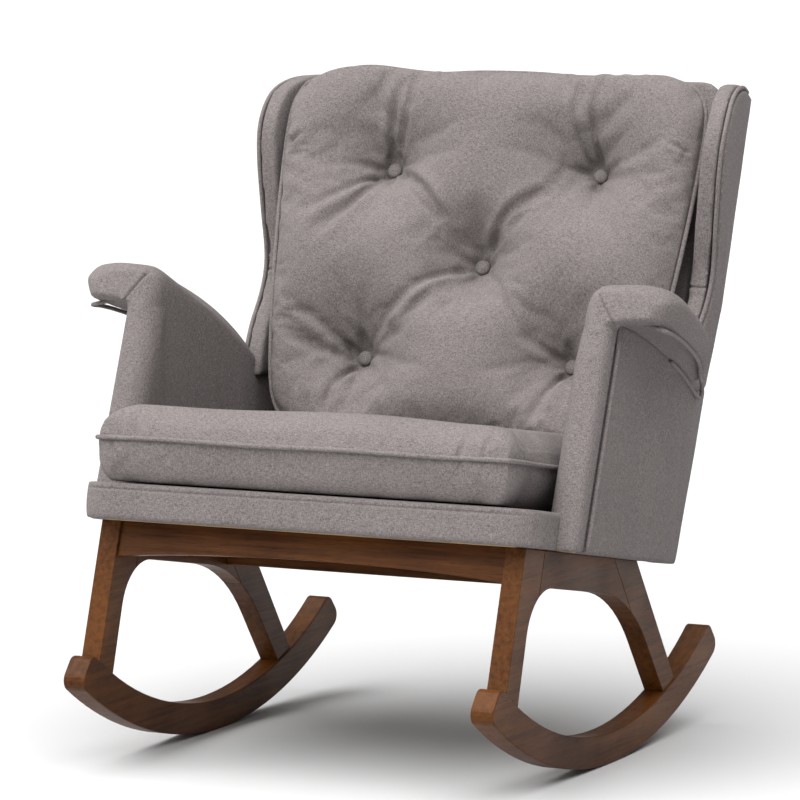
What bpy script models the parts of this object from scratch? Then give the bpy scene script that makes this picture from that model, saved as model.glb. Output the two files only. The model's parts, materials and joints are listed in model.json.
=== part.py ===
"""Winged rocking chair: arched walnut base on two rockers, upholstered arms, loose tufted back and seat cushions.

Metres, +Z up, the front looks along -Y. Every piece is drawn from the line where the rockers meet the
floor, then one parent shifts the whole chair so that the frame's origin is under the middle of its box.
"""

import math

import bmesh
import bpy
from mathutils import Matrix, Vector

# ---- overall placing
FRAME_SHIFT_Y = -0.0363
GAP = 0.0003
SOFT_GAP = 0.0005
SIDES = (("left", -1.0), ("right", 1.0))

# ---- rockers
ROCKER_SPAN = 0.620
ROCKER_STOCK = 0.032
ROCKER_RADIUS = 0.700
ROCKER_TOP_RADIUS = 0.613
ROCKER_DEPTH = 0.042
ROCKER_REACH_FRONT = 0.391
ROCKER_REACH_REAR = 0.367
ROCKER_TIP_SET_BACK = 0.033
ROCKER_NOSE = 0.015
ROCKER_FACETS = 41
ROCKER_TOP_FACETS = 30
WOOD_EASE = 0.0018

# ---- seat plane: the top of the wooden base, falling towards the rear
SEAT_TILT = math.radians(10.0)
SEAT_FRONT_Y = -0.320
SEAT_FRONT_Z = 0.331

# ---- legs and arched side rails
LEG_STOCK = 0.028
LEG_LEAN = math.radians(18.3)
LEG_FRONT_SET_BACK = 0.0416
LEG_FOOT = 0.036
ARCH_CROWN_DEPTH = 0.0485
ARCH_FRONT_LEAN = math.radians(17.2)
ARCH_REAR_LEAN = math.radians(38.2)
ARCH_FRONT_RADIUS = 0.072
ARCH_REAR_RADIUS = 0.240
REAR_LEG_FRONT_Y = 0.175
REAR_LEG_REAR_TOP_Y = 0.082
REAR_LEG_LEAN = math.radians(36.3)
FRONT_SEAM_Y = -0.219
REAR_SEAM_Y = 0.004

# ---- cross rails
RAIL_RECESS = 0.005
FRONT_RAIL_STOCK = 0.024
FRONT_RAIL_HEIGHT = 0.047
FRONT_RAIL_RISE = 0.012
REAR_RAIL_STOCK = 0.024
REAR_RAIL_HEIGHT = 0.045
REAR_RAIL_S = 0.352

# ---- dowels and screws
DOWEL_RADIUS = 0.005
DOWEL_LENGTH = 0.036
DOWEL_CLEAR = 0.0002
SCREW_X = 0.180
SCREW_HEAD_RADIUS = 0.0042
SCREW_HEAD_HEIGHT = 0.003
SCREW_SHANK_RADIUS = 0.0022
SCREW_SINK = 0.014
SCREW_BITE = 0.020
BORE_CLEAR = 0.0006

# ---- seat base
SEAT_FRAME_HALF = ROCKER_SPAN / 2 - 0.015
SEAT_FRAME_REAR_INSET = 0.004
SEAT_FRAME_STOCK = 0.022
SEAT_FRAME_HEIGHT = 0.040
SEAT_FRAME_FRONT_S = 0.029
SEAT_FRAME_REAR_S = 0.462
APRON_HALF = ROCKER_SPAN / 2 + 0.020
APRON_HEIGHT = 0.049
APRON_CORNER = 0.045
APRON_RETURN_S = 0.083
APRON_THICK = 0.0275
APRON_CLEAR = 0.0095
WEBBING_WIDTH = 0.050
WEBBING_THICK = 0.0022
WEBBING_X = (-0.150, 0.0, 0.150)
DECK_THICK = 0.0065
DECK_REAR_S = 0.455
DECK_SIDE_GAP = 0.003
DECK_NARROWS = 0.070
DUST_COVER_THICK = 0.0015
DUST_COVER_HALF = SEAT_FRAME_HALF - 0.027
DUST_COVER_S = (0.090, 0.340)

# ---- arms
ARM_INNER_X = ROCKER_SPAN / 2 - 0.004
ARM_OUTER_X = ARM_INNER_X + 0.051
ARM_PAD_THICK = 0.012
ARM_BOARD_THICK = 0.021
ARM_FRONT_S = 0.0865
ARM_FRONT_LEAN = math.radians(21.5)
ARM_BAND_THICK = 0.030
ARM_TAPER_REACH = 0.120
ARM_INNER_TAPER = 0.130
ARM_OUTER_TAPER = 0.250
ARM_CORE_HIGH = 0.4705
ARM_CORE_END = (0.200, 0.4705)
ARM_BAND_HIGH = 0.597
ARM_REAR_CORNER = 0.020
ARM_PAD_STATIONS = (
    # y at the foot, foot height, crest height, outer edge x, welt height
    (-0.1250, 0.5985, 0.6430, ARM_INNER_X + 0.1090, 0.6100),
    (-0.1080, 0.5955, 0.6470, ARM_INNER_X + 0.1240, 0.6070),
    (-0.0800, 0.5900, 0.6430, ARM_INNER_X + 0.1270, 0.6000),
    (-0.0300, 0.5760, 0.6310, ARM_INNER_X + 0.1220, 0.5850),
    (0.0200, 0.5570, 0.6160, ARM_INNER_X + 0.1130, 0.5690),
    (0.0700, 0.5350, 0.5970, ARM_INNER_X + 0.1030, 0.5510),
    (0.1150, 0.5110, 0.5740, ARM_INNER_X + 0.0920, 0.5320),
    (0.1500, 0.4890, 0.5480, ARM_INNER_X + 0.0790, 0.5120),
    (0.1780, 0.4760, 0.5180, ARM_INNER_X + 0.0600, 0.4960),
)
WELT_RADIUS = 0.0030
WELT_GROOVE = 0.0080

# ---- back and wings
BACK_RAKE = math.radians(24.5)
BACK_REAR_Y = 0.290
BACK_REAR_Z = 0.500
OUTSIDE_BACK_THICK = 0.006
BACK_BOARD_THICK = 0.022
INSIDE_BACK_THICK = 0.021
BACK_BOARD_HALF = ARM_INNER_X - 0.024
INSIDE_BACK_HALF = ARM_INNER_X - 0.018
OUTSIDE_BACK_LOW_HALF = ARM_INNER_X + 0.016
OUTSIDE_BACK_HIGH_HALF = ARM_INNER_X + 0.010
OUTSIDE_BACK_T = (-0.262, 0.402)
BACK_BOARD_T = (-0.250, 0.390)
INSIDE_BACK_T = (-0.165, 0.396)
WING_FRONT = (
    (0.2060, 0.4725),
    (0.2180, 0.5050),
    (0.2380, 0.5420),
    (0.2520, 0.5820),
    (0.2570, 0.6300),
    (0.2550, 0.7000),
    (0.2540, 0.7700),
    (0.2640, 0.8200),
    (0.2950, 0.8620),
    (0.3400, 0.8800),
    (0.3950, 0.8820),
    (0.4380, 0.8720),
)
WING_OUTER_X = ARM_INNER_X + 0.049
WING_THICK = 0.034
WING_PANEL_THICK = 0.0095
WING_PANEL_INSET = 2 * WELT_RADIUS + 0.0025
WING_FLARE = 0.070
WING_FLARE_Z = 0.750
WING_TAPER = 0.230
WING_TAPER_Y = 0.270

# ---- loose cushions
SEAT_CUSHION_HALF = ARM_INNER_X - 0.004
SEAT_CUSHION_S = (-0.020, 0.448)
SEAT_CUSHION_ROUND = 0.10
SEAT_CUSHION_REST = 0.0520
SEAT_CUSHION_UNDER = 0.052
SEAT_CUSHION_CROWN = 0.050
BACK_CUSHION_RAKE = math.radians(22.6)
BACK_CUSHION_FOOT_Z = 0.404
BACK_CUSHION_LINE_Y = 0.207
BACK_CUSHION_LINE_Z = 0.600
BACK_CUSHION_LENGTH = 0.535
BACK_CUSHION_LOW_HALF = ARM_INNER_X - 0.025
BACK_CUSHION_HIGH_HALF = ARM_INNER_X + 0.009
BACK_CUSHION_ROUND = 0.30
EDGE_HALF = 0.0008
BACK_CUSHION_FRONT = 0.046
BACK_CUSHION_REAR = 0.060
BUTTON_RADIUS = 0.0105
BUTTON_HEIGHT = 0.0075
BUTTON_SINK = 0.044
BUTTON_STAND = 0.010
TUFT_FLOOR = 0.004
TUFT_WIDTH = 0.050
BUTTONS = (
    ("button_top_left", -0.154, BACK_CUSHION_LENGTH - 0.140),
    ("button_top_right", 0.154, BACK_CUSHION_LENGTH - 0.140),
    ("button_centre", 0.0, BACK_CUSHION_LENGTH / 2 - 0.0105),
    ("button_bottom_left", -0.154, 0.119),
    ("button_bottom_right", 0.154, 0.119),
)

FINISHES = {
    "walnut": ((0.145, 0.058, 0.024), 0.42, 0.0),
    "hidden_timber": ((0.520, 0.370, 0.210), 0.75, 0.0),
    "grey_weave": ((0.270, 0.245, 0.238), 0.92, 0.0),
    "webbing": ((0.080, 0.078, 0.075), 0.85, 0.0),
    "dust_cloth": ((0.020, 0.020, 0.021), 0.95, 0.0),
    "zinc_steel": ((0.420, 0.420, 0.430), 0.38, 1.0),
}


def clear_scene():
    for obj in list(bpy.data.objects):
        bpy.data.objects.remove(obj)


def make_finishes():
    made = {}
    for name, (colour, roughness, metallic) in FINISHES.items():
        material = bpy.data.materials.new(name)
        material.use_nodes = True
        shader = material.node_tree.nodes["Principled BSDF"]
        shader.inputs["Base Color"].default_value = (*colour, 1.0)
        shader.inputs["Roughness"].default_value = roughness
        shader.inputs["Metallic"].default_value = metallic
        made[name] = material
    return made


# ---- plane geometry, in (y, z) unless said otherwise


def seat_point(s, n):
    """(y, z) of a point s behind the apron's front foot and n above the base's top plane."""
    y = SEAT_FRONT_Y + s * math.cos(SEAT_TILT) + n * math.sin(SEAT_TILT)
    z = SEAT_FRONT_Z - s * math.sin(SEAT_TILT) + n * math.cos(SEAT_TILT)
    return y, z


def seat_top_z(y, n=0.0):
    """Height of the plane n above the base's top, at this y."""
    drop = (y - SEAT_FRONT_Y) * math.tan(SEAT_TILT)
    return SEAT_FRONT_Z - drop + n / math.cos(SEAT_TILT)


def back_point(t, m):
    """(y, z) of a point t up the rake and m in front of the chair's rear plane."""
    y = BACK_REAR_Y + t * math.sin(BACK_RAKE) - m * math.cos(BACK_RAKE)
    z = BACK_REAR_Z + t * math.cos(BACK_RAKE) + m * math.sin(BACK_RAKE)
    return y, z


def back_y(z, m):
    """Where the plane m in front of the rear plane is, at this height."""
    return BACK_REAR_Y + (z - BACK_REAR_Z) * math.tan(BACK_RAKE) - m / math.cos(BACK_RAKE)


def cushion_point(t, m):
    """(y, z) of a point t up the back cushion's own plane and m in front of it."""
    foot_y = BACK_CUSHION_LINE_Y + (BACK_CUSHION_FOOT_Z - BACK_CUSHION_LINE_Z) * math.tan(
        BACK_CUSHION_RAKE
    )
    y = foot_y + t * math.sin(BACK_CUSHION_RAKE) - m * math.cos(BACK_CUSHION_RAKE)
    z = BACK_CUSHION_FOOT_Z + t * math.cos(BACK_CUSHION_RAKE) + m * math.sin(BACK_CUSHION_RAKE)
    return y, z


def rocker_foot(y):
    return ROCKER_RADIUS - math.sqrt(ROCKER_RADIUS**2 - y * y)


def rocker_top(y):
    centre = ROCKER_DEPTH + ROCKER_TOP_RADIUS
    return centre - math.sqrt(ROCKER_TOP_RADIUS**2 - y * y)


def crossing(p, q, a, b):
    """Where line p-q meets line a-b."""
    r = (q[0] - p[0], q[1] - p[1])
    s = (b[0] - a[0], b[1] - a[1])
    k = ((a[0] - p[0]) * s[1] - (a[1] - p[1]) * s[0]) / (r[0] * s[1] - r[1] * s[0])
    return p[0] + k * r[0], p[1] + k * r[1]


def fillet(before, corner, after, radius, steps=7):
    """Points of the arc that rounds one corner."""
    a = Vector(before) - Vector(corner)
    b = Vector(after) - Vector(corner)
    a.normalize()
    b.normalize()
    half = a.angle(b) / 2
    reach = radius / math.tan(half)
    centre = Vector(corner) + (a + b).normalized() * (radius / math.sin(half))
    start = Vector(corner) + a * reach - centre
    end = Vector(corner) + b * reach - centre
    sweep = start.angle(end)
    points = []
    for i in range(steps + 1):
        k = i / steps
        mix = start * math.sin((1 - k) * sweep) + end * math.sin(k * sweep)
        points.append(tuple(centre + mix / math.sin(sweep)))
    return points


def rounded(points, radii, steps=7):
    """The polygon with each corner rounded by its own radius, 0 for a sharp one."""
    out = []
    for i, (point, radius) in enumerate(zip(points, radii)):
        if radius <= 0:
            out.append(tuple(point))
            continue
        after = points[(i + 1) % len(points)]
        out += fillet(points[i - 1], point, after, radius, steps)
    return out


def kept_side(polygon, a, b):
    """The polygon's part to the left of the line from a to b."""

    def height(p):
        return (b[0] - a[0]) * (p[1] - a[1]) - (b[1] - a[1]) * (p[0] - a[0])

    out = []
    for p, q in zip(polygon, polygon[1:] + polygon[:1]):
        if height(p) >= 0:
            out.append(p)
        if (height(p) > 0) != (height(q) > 0) and height(p) != height(q):
            out.append(crossing(p, q, a, b))
    return out


# ---- making objects


class Workshop:
    """Makes each piece, dresses it and hangs it on the chair's one parent."""

    def __init__(self):
        self.finishes = make_finishes()
        self.origin = bpy.data.objects.new("chair_origin", None)
        bpy.context.scene.collection.objects.link(self.origin)
        self.origin.location = (0.0, FRAME_SHIFT_Y, 0.0)

    def add(self, name, shape, finish, parent=None, at=(0.0, 0.0, 0.0)):
        """Turns a bmesh drawn in chair coordinates into a piece whose own origin is at this point."""
        bmesh.ops.translate(shape, verts=shape.verts, vec=-Vector(at))
        bmesh.ops.recalc_face_normals(shape, faces=shape.faces)
        mesh = bpy.data.meshes.new(name)
        shape.to_mesh(mesh)
        shape.free()
        mesh.materials.append(self.finishes[finish])
        mesh.shade_smooth()
        mesh.set_sharp_from_angle(angle=math.radians(30))
        obj = bpy.data.objects.new(name, mesh)
        bpy.context.scene.collection.objects.link(obj)
        obj.parent = parent or self.origin
        obj.location = at
        return obj

    def hanger(self, name, at):
        """An empty that a moving piece's parts hang on."""
        empty = bpy.data.objects.new(name, None)
        bpy.context.scene.collection.objects.link(empty)
        empty.parent = self.origin
        empty.location = at
        return empty

    def ease(self, obj, width, segments=2):
        """Rounds a piece's sharp edges."""
        bevel = obj.modifiers.new("ease", "BEVEL")
        bevel.width = width
        bevel.segments = segments
        bevel.limit_method = "ANGLE"
        bevel.angle_limit = math.radians(40)
        return obj

    def bore(self, obj, cutter):
        """Cuts a hole and leaves the cutter out of the render."""
        cutter.hide_render = True
        cutter.display_type = "WIRE"
        cut = obj.modifiers.new("bore", "BOOLEAN")
        cut.operation = "DIFFERENCE"
        cut.solver = "EXACT"
        cut.object = cutter
        return obj


def prism(outline, low, high, place):
    """A polygon pushed from low to high; place turns (a, b, height) into a point."""
    shape = bmesh.new()
    under = [shape.verts.new(place(a, b, low)) for a, b in outline]
    over = [shape.verts.new(place(a, b, high)) for a, b in outline]
    shape.faces.new(under)
    shape.faces.new(list(reversed(over)))
    count = len(outline)
    for i in range(count):
        j = (i + 1) % count
        shape.faces.new((under[i], over[i], over[j], under[j]))
    return shape


def side_place(y, z, x):
    return Vector((x, y, z))


def seat_place(x, s, n):
    y, z = seat_point(s, n)
    return Vector((x, y, z))


def back_place(x, t, m):
    y, z = back_point(t, m)
    return Vector((x, y, z))


def rings(sections, closed=False):
    """A solid through sections of equal length, with its two ends filled unless it closes on itself."""
    shape = bmesh.new()
    rows = [[shape.verts.new(p) for p in section] for section in sections]
    count = len(rows[0])
    pairs = list(zip(rows, rows[1:]))
    if closed:
        pairs.append((rows[-1], rows[0]))
    else:
        shape.faces.new(rows[0])
        shape.faces.new(list(reversed(rows[-1])))
    for first, second in pairs:
        for i in range(count):
            j = (i + 1) % count
            shape.faces.new((first[i], second[i], second[j], first[j]))
    return shape


def cord(path, radius, closed=False, sides=8):
    """A round cord along a path, kept from twisting by one steady up vector per step."""
    points = [Vector(p) for p in path]
    count = len(points)
    sections = []
    across = None
    for i, point in enumerate(points):
        if closed:
            ahead = points[(i + 1) % count] - points[i - 1]
        else:
            ahead = points[min(i + 1, count - 1)] - points[max(i - 1, 0)]
        ahead.normalize()
        if across is None:
            across = ahead.orthogonal().normalized()
        across = (across - ahead * across.dot(ahead)).normalized()
        other = ahead.cross(across)
        section = []
        for k in range(sides):
            turn = 2 * math.pi * k / sides
            section.append(point + across * radius * math.cos(turn) + other * radius * math.sin(turn))
        sections.append(section)
    return rings(sections, closed)


def lathe(profile, turns=20):
    """A turned solid about +Z from (radius, height) pairs that start and end on the axis."""
    shape = bmesh.new()
    low = shape.verts.new((0, 0, profile[0][1]))
    high = shape.verts.new((0, 0, profile[-1][1]))
    rows = []
    for radius, height in profile[1:-1]:
        row = []
        for k in range(turns):
            turn = 2 * math.pi * k / turns
            row.append(shape.verts.new((radius * math.cos(turn), radius * math.sin(turn), height)))
        rows.append(row)
    for k in range(turns):
        j = (k + 1) % turns
        shape.faces.new((low, rows[0][j], rows[0][k]))
        shape.faces.new((high, rows[-1][k], rows[-1][j]))
        for first, second in zip(rows, rows[1:]):
            shape.faces.new((first[k], first[j], second[j], second[k]))
    return shape


def peg(radius, low, high):
    return lathe(((0, low), (radius, low), (radius, high), (0, high)))


def aimed(shape, at, along):
    """Turns a solid made about +Z to point along a direction, and moves it."""
    turn = Vector((0, 0, 1)).rotation_difference(Vector(along).normalized()).to_matrix().to_4x4()
    shape.transform(Matrix.Translation(Vector(at)) @ turn)
    return shape


def spline(points, steps=4, closed=False):
    """A smooth path through the points."""
    knots = [Vector(p) for p in points]
    count = len(knots)
    spans = count if closed else count - 1
    out = []
    for i in range(spans):
        if closed:
            a, b, c, d = (knots[(i + k) % count] for k in (-1, 0, 1, 2))
        else:
            a, b, c, d = (knots[min(max(i + k, 0), count - 1)] for k in (-1, 0, 1, 2))
        for k in range(steps):
            t = k / steps
            out.append(
                0.5
                * (
                    2 * b
                    + (c - a) * t
                    + (2 * a - 5 * b + 4 * c - d) * t * t
                    + (3 * b - a - 3 * c + d) * t**3
                )
            )
    if not closed:
        out.append(knots[-1])
    return out


# ---- the wooden base


def rocker_outline():
    foot = []
    for i in range(ROCKER_FACETS + 1):
        k = i / ROCKER_FACETS
        low = math.asin(-ROCKER_REACH_FRONT / ROCKER_RADIUS)
        high = math.asin(ROCKER_REACH_REAR / ROCKER_RADIUS)
        turn = low + (high - low) * k
        foot.append((ROCKER_RADIUS * math.sin(turn), ROCKER_RADIUS * (1 - math.cos(turn))))
    lowest = min(range(ROCKER_FACETS), key=lambda i: foot[i][1] + foot[i + 1][1])
    facet = ROCKER_RADIUS * (high - low) / ROCKER_FACETS
    foot[lowest] = (-facet / 2, 0.0)
    foot[lowest + 1] = (facet / 2, 0.0)
    top = []
    ends = (ROCKER_REACH_REAR - ROCKER_TIP_SET_BACK, -ROCKER_REACH_FRONT + ROCKER_TIP_SET_BACK)
    for i in range(ROCKER_TOP_FACETS + 1):
        y = ends[0] + (ends[1] - ends[0]) * i / ROCKER_TOP_FACETS
        top.append((y, rocker_top(y)))
    points = foot + top
    radii = [0.0] * len(points)
    for corner in (0, len(foot) - 1, len(foot), len(points) - 1):
        radii[corner] = ROCKER_NOSE
    return rounded(points, radii, steps=5)


def rest_on_rocker(y):
    return rocker_top(y) + GAP


def side_frame_outline():
    """Front leg, arched rail and rear leg as one outline, before the seams are cut."""
    top_front = seat_point(LEG_FRONT_SET_BACK, -GAP)
    down = (-math.sin(LEG_LEAN), -math.cos(LEG_LEAN))
    foot_y = top_front[0]
    for _ in range(30):
        foot_y = top_front[0] + (top_front[1] - rest_on_rocker(foot_y)) * down[0] / -down[1]
    foot_front = (foot_y, rest_on_rocker(foot_y))
    heel_y = foot_y + LEG_FOOT
    heel_front = (heel_y, rest_on_rocker(heel_y))
    crown_y = SEAT_FRONT_Y
    crown = (
        (crown_y, seat_top_z(crown_y) - ARCH_CROWN_DEPTH),
        (crown_y + 1, seat_top_z(crown_y + 1) - ARCH_CROWN_DEPTH),
    )
    up_front = (
        heel_front[0] + math.sin(ARCH_FRONT_LEAN),
        heel_front[1] + math.cos(ARCH_FRONT_LEAN),
    )
    rear_in = (REAR_LEG_FRONT_Y, rest_on_rocker(REAR_LEG_FRONT_Y))
    up_rear = (rear_in[0] - math.sin(ARCH_REAR_LEAN), rear_in[1] + math.cos(ARCH_REAR_LEAN))
    arch_front = crossing(heel_front, up_front, *crown)
    arch_rear = crossing(rear_in, up_rear, *crown)
    top_rear = (REAR_LEG_REAR_TOP_Y, seat_top_z(REAR_LEG_REAR_TOP_Y, -GAP))
    rear_y = top_rear[0]
    for _ in range(30):
        rear_y = top_rear[0] + (top_rear[1] - rest_on_rocker(rear_y)) * math.tan(REAR_LEG_LEAN)
    rear_out = (rear_y, rest_on_rocker(rear_y))
    points = [foot_front, heel_front, arch_front, arch_rear, rear_in, rear_out, top_rear, top_front]
    radii = [0, 0, ARCH_FRONT_RADIUS, ARCH_REAR_RADIUS, 0, 0, 0, 0]
    return rounded(points, radii, steps=10)


def seam_line(y, lean):
    """A seam from the base's top at y, falling with this lean."""
    top = (y, seat_top_z(y))
    return top, (top[0] + math.sin(lean), top[1] - math.cos(lean))


def side_frame_pieces():
    whole = side_frame_outline()
    front_top, front_low = seam_line(FRONT_SEAM_Y, -LEG_LEAN)
    rear_top, rear_low = seam_line(REAR_SEAM_Y, REAR_LEG_LEAN)

    def moved(point, shift):
        return point[0] + shift, point[1]

    half = GAP / 2
    leg = kept_side(whole, moved(front_low, -half), moved(front_top, -half))
    rail = kept_side(whole, moved(front_top, half), moved(front_low, half))
    rail = kept_side(rail, moved(rear_low, -half), moved(rear_top, -half))
    rear = kept_side(whole, moved(rear_top, half), moved(rear_low, half))
    return {"front_leg": leg, "side_rail": rail, "rear_leg": rear}


def build_base(shop):
    pieces = side_frame_pieces()
    centre_x = ROCKER_SPAN / 2 - ROCKER_STOCK / 2
    outline = rocker_outline()
    for side, sign in SIDES:
        x = sign * centre_x
        half = ROCKER_STOCK / 2
        rocker = prism(outline, x - half, x + half, side_place)
        rocker = shop.ease(shop.add(f"rocker_{side}", rocker, "walnut"), WOOD_EASE)
        half = LEG_STOCK / 2
        legs = {}
        for piece, points in pieces.items():
            shape = prism(points, x - half, x + half, side_place)
            legs[piece] = shop.ease(shop.add(f"{piece}_{side}", shape, "walnut"), WOOD_EASE / 2)
        for piece, lean in (("front_leg", -LEG_LEAN), ("rear_leg", REAR_LEG_LEAN)):
            build_dowel(shop, f"{piece}_dowel_{side}", x, pieces[piece], lean, legs[piece], rocker)
    build_front_rail(shop, centre_x - LEG_STOCK / 2 - GAP)
    build_rear_rail(shop, centre_x - LEG_STOCK / 2 - GAP)


def build_dowel(shop, name, x, outline, lean, leg, rocker):
    """The blind dowel that holds a leg's foot to its rocker."""
    feet = sorted(outline, key=lambda p: p[1] - rocker_top(p[0]))[:2]
    y = (feet[0][0] + feet[1][0]) / 2
    at = (x, y, rocker_top(y))
    along = (0.0, -math.sin(lean), math.cos(lean))
    reach = DOWEL_LENGTH / 2
    hole = peg(DOWEL_RADIUS + DOWEL_CLEAR, -reach - DOWEL_CLEAR, reach + DOWEL_CLEAR)
    cutter = shop.add(name + "_hole", aimed(hole, at, along), "walnut")
    shop.bore(leg, cutter)
    shop.bore(rocker, cutter)
    shop.add(name, aimed(peg(DOWEL_RADIUS, -reach, reach), at, along), "hidden_timber")


def screw_solid(length):
    """A countersunk-free pan screw, head down, its tip up."""
    return lathe(
        (
            (0, 0),
            (SCREW_HEAD_RADIUS, 0),
            (SCREW_HEAD_RADIUS, SCREW_HEAD_HEIGHT),
            (SCREW_SHANK_RADIUS, SCREW_HEAD_HEIGHT),
            (SCREW_SHANK_RADIUS, length - SCREW_SHANK_RADIUS),
            (0, length),
        ),
        turns=14,
    )


def screw_bore(length):
    """The room a screw needs: a wide sink for its head and driver, then a close hole."""
    return lathe(
        (
            (0, -0.08),
            (SCREW_HEAD_RADIUS + BORE_CLEAR, -0.08),
            (SCREW_HEAD_RADIUS + BORE_CLEAR, SCREW_HEAD_HEIGHT + GAP),
            (SCREW_SHANK_RADIUS + GAP, SCREW_HEAD_HEIGHT + GAP),
            (SCREW_SHANK_RADIUS + GAP, length + GAP),
            (0, length + GAP),
        ),
        turns=14,
    )


def build_screws(shop, stem, rail, frame, s, under):
    """Two screws up through a wooden rail into the seat frame above it."""
    along = (0.0, math.sin(SEAT_TILT), math.cos(SEAT_TILT))
    length = SCREW_BITE + under - SCREW_SINK
    for side, sign in SIDES:
        at = seat_place(sign * SCREW_X, s, SCREW_SINK - under)
        cutter = aimed(screw_bore(length), at, along)
        cutter = shop.add(f"{stem}_screw_{side}_hole", cutter, "zinc_steel")
        shop.bore(rail, cutter)
        shop.bore(frame, cutter)
        shop.add(f"{stem}_screw_{side}", aimed(screw_solid(length), at, along), "zinc_steel")


def build_front_rail(shop, half):
    """The front rail: a board leaning with the legs, its lower edge arched."""
    depth = FRONT_RAIL_HEIGHT
    arch = []
    steps = 16
    for i in range(steps + 1):
        x = -half + 2 * half * i / steps
        rise = FRONT_RAIL_RISE * (1 - (x / half) ** 2) ** 0.8 if abs(x) < half else 0.0
        arch.append((x, -depth + rise))
    outline = arch + [(half, 0.0), (-half, 0.0)]
    set_back = LEG_FRONT_SET_BACK + RAIL_RECESS
    lean = LEG_LEAN - SEAT_TILT

    def place(x, drop, thick):
        y, z = seat_point(set_back + thick / math.cos(lean) + drop * math.tan(lean), drop - GAP)
        return Vector((x, y, z))

    shape = prism(outline, 0.0, FRONT_RAIL_STOCK, place)
    return shop.ease(shop.add("front_rail", shape, "walnut"), WOOD_EASE / 2)


def build_rear_rail(shop, half):
    outline = (
        (-half, REAR_RAIL_S),
        (half, REAR_RAIL_S),
        (half, REAR_RAIL_S + REAR_RAIL_STOCK),
        (-half, REAR_RAIL_S + REAR_RAIL_STOCK),
    )
    shape = prism(outline, -REAR_RAIL_HEIGHT, -GAP, seat_place)
    return shop.ease(shop.add("rear_rail", shape, "walnut"), WOOD_EASE / 2)


# ---- the upholstered seat base


def box_outline(x0, x1, s0, s1):
    return ((x0, s0), (x1, s0), (x1, s1), (x0, s1))


def build_seat_base(shop):
    half = SEAT_FRAME_HALF
    stock = SEAT_FRAME_STOCK
    front = SEAT_FRAME_FRONT_S
    rear = SEAT_FRAME_REAR_S
    spans = {
        "seat_frame_front": (-half, half, front, front + stock * 2),
        "seat_frame_rear": (
            -half + SEAT_FRAME_REAR_INSET,
            half - SEAT_FRAME_REAR_INSET,
            rear - stock,
            rear,
        ),
        "seat_frame_left": (-half, -half + stock, front + stock * 2 + GAP, rear - stock - GAP),
        "seat_frame_right": (half - stock, half, front + stock * 2 + GAP, rear - stock - GAP),
        "seat_frame_middle": (
            -half + stock + GAP,
            half - stock - GAP,
            REAR_RAIL_S - 0.005,
            REAR_RAIL_S + REAR_RAIL_STOCK + 0.005,
        ),
    }
    frames = {}
    for name, span in spans.items():
        shape = prism(box_outline(*span), 0.0, SEAT_FRAME_HEIGHT, seat_place)
        frames[name] = shop.add(name, shape, "hidden_timber")
    rail_s = LEG_FRONT_SET_BACK + RAIL_RECESS + FRONT_RAIL_STOCK / 2
    front_rail = bpy.data.objects["front_rail"]
    rear_rail = bpy.data.objects["rear_rail"]
    build_screws(shop, "front_rail", front_rail, frames["seat_frame_front"], rail_s, 0.036)
    middle_s = REAR_RAIL_S + REAR_RAIL_STOCK / 2
    middle = frames["seat_frame_middle"]
    build_screws(shop, "rear_rail", rear_rail, middle, middle_s, REAR_RAIL_HEIGHT)

    over = SEAT_FRAME_HEIGHT + GAP
    for number, x in enumerate(WEBBING_X, 1):
        span = (x - WEBBING_WIDTH / 2, x + WEBBING_WIDTH / 2, front + 0.006, rear - 0.004)
        shape = prism(box_outline(*span), over, over + WEBBING_THICK, seat_place)
        shop.add(f"webbing_strap_{number}", shape, "webbing")

    over += WEBBING_THICK + GAP
    wide = min(ARM_INNER_X - DECK_SIDE_GAP, half + APRON_CLEAR - SOFT_GAP)
    deck = (
        (-wide, front + 0.001),
        (wide, front + 0.001),
        (wide, DECK_REAR_S - DECK_NARROWS),
        (wide - DECK_NARROWS * ARM_INNER_TAPER, DECK_REAR_S),
        (-wide + DECK_NARROWS * ARM_INNER_TAPER, DECK_REAR_S),
        (-wide, DECK_REAR_S - DECK_NARROWS),
    )
    shape = prism(deck, over, over + DECK_THICK, seat_place)
    shop.add("seat_deck", shape, "grey_weave")

    apron = (
        (-APRON_HALF, 0.0),
        (APRON_HALF, 0.0),
        (APRON_HALF, APRON_RETURN_S),
        (half + APRON_CLEAR, APRON_RETURN_S),
        (half + APRON_CLEAR, APRON_THICK),
        (-half - APRON_CLEAR, APRON_THICK),
        (-half - APRON_CLEAR, APRON_RETURN_S),
        (-APRON_HALF, APRON_RETURN_S),
    )
    outline = rounded(apron, (APRON_CORNER, APRON_CORNER, 0, 0, 0, 0, 0, 0), steps=8)
    shape = prism(outline, GAP, APRON_HEIGHT, seat_place)
    shop.ease(shop.add("seat_apron", shape, "grey_weave"), 0.005)

    span = (-DUST_COVER_HALF, DUST_COVER_HALF, *DUST_COVER_S)
    shape = prism(box_outline(*span), -GAP - DUST_COVER_THICK, -GAP, seat_place)
    shop.add("dust_cover", shape, "dust_cloth")


# ---- the arms


def arm_front_y(z, back=0.0):
    """The leaning front plane of the arm at this height, or a plane behind it."""
    foot_y, foot_z = seat_point(ARM_FRONT_S, 0.0)
    return foot_y + (z - foot_z) * math.tan(ARM_FRONT_LEAN) + back / math.cos(ARM_FRONT_LEAN)


def past_arm_bend(y, z):
    """How far a point lies behind the line where the arm starts to narrow towards the back."""
    return y - back_y(z, 0.0) + ARM_TAPER_REACH


def arm_taper(y, z, slope):
    return slope * max(0.0, past_arm_bend(y, z))


def arm_place(sign):
    def place(y, z, x):
        slope = ARM_OUTER_TAPER if x == ARM_OUTER_X else ARM_INNER_TAPER
        return Vector((sign * (x - arm_taper(y, z, slope)), y, z))

    return place


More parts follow.
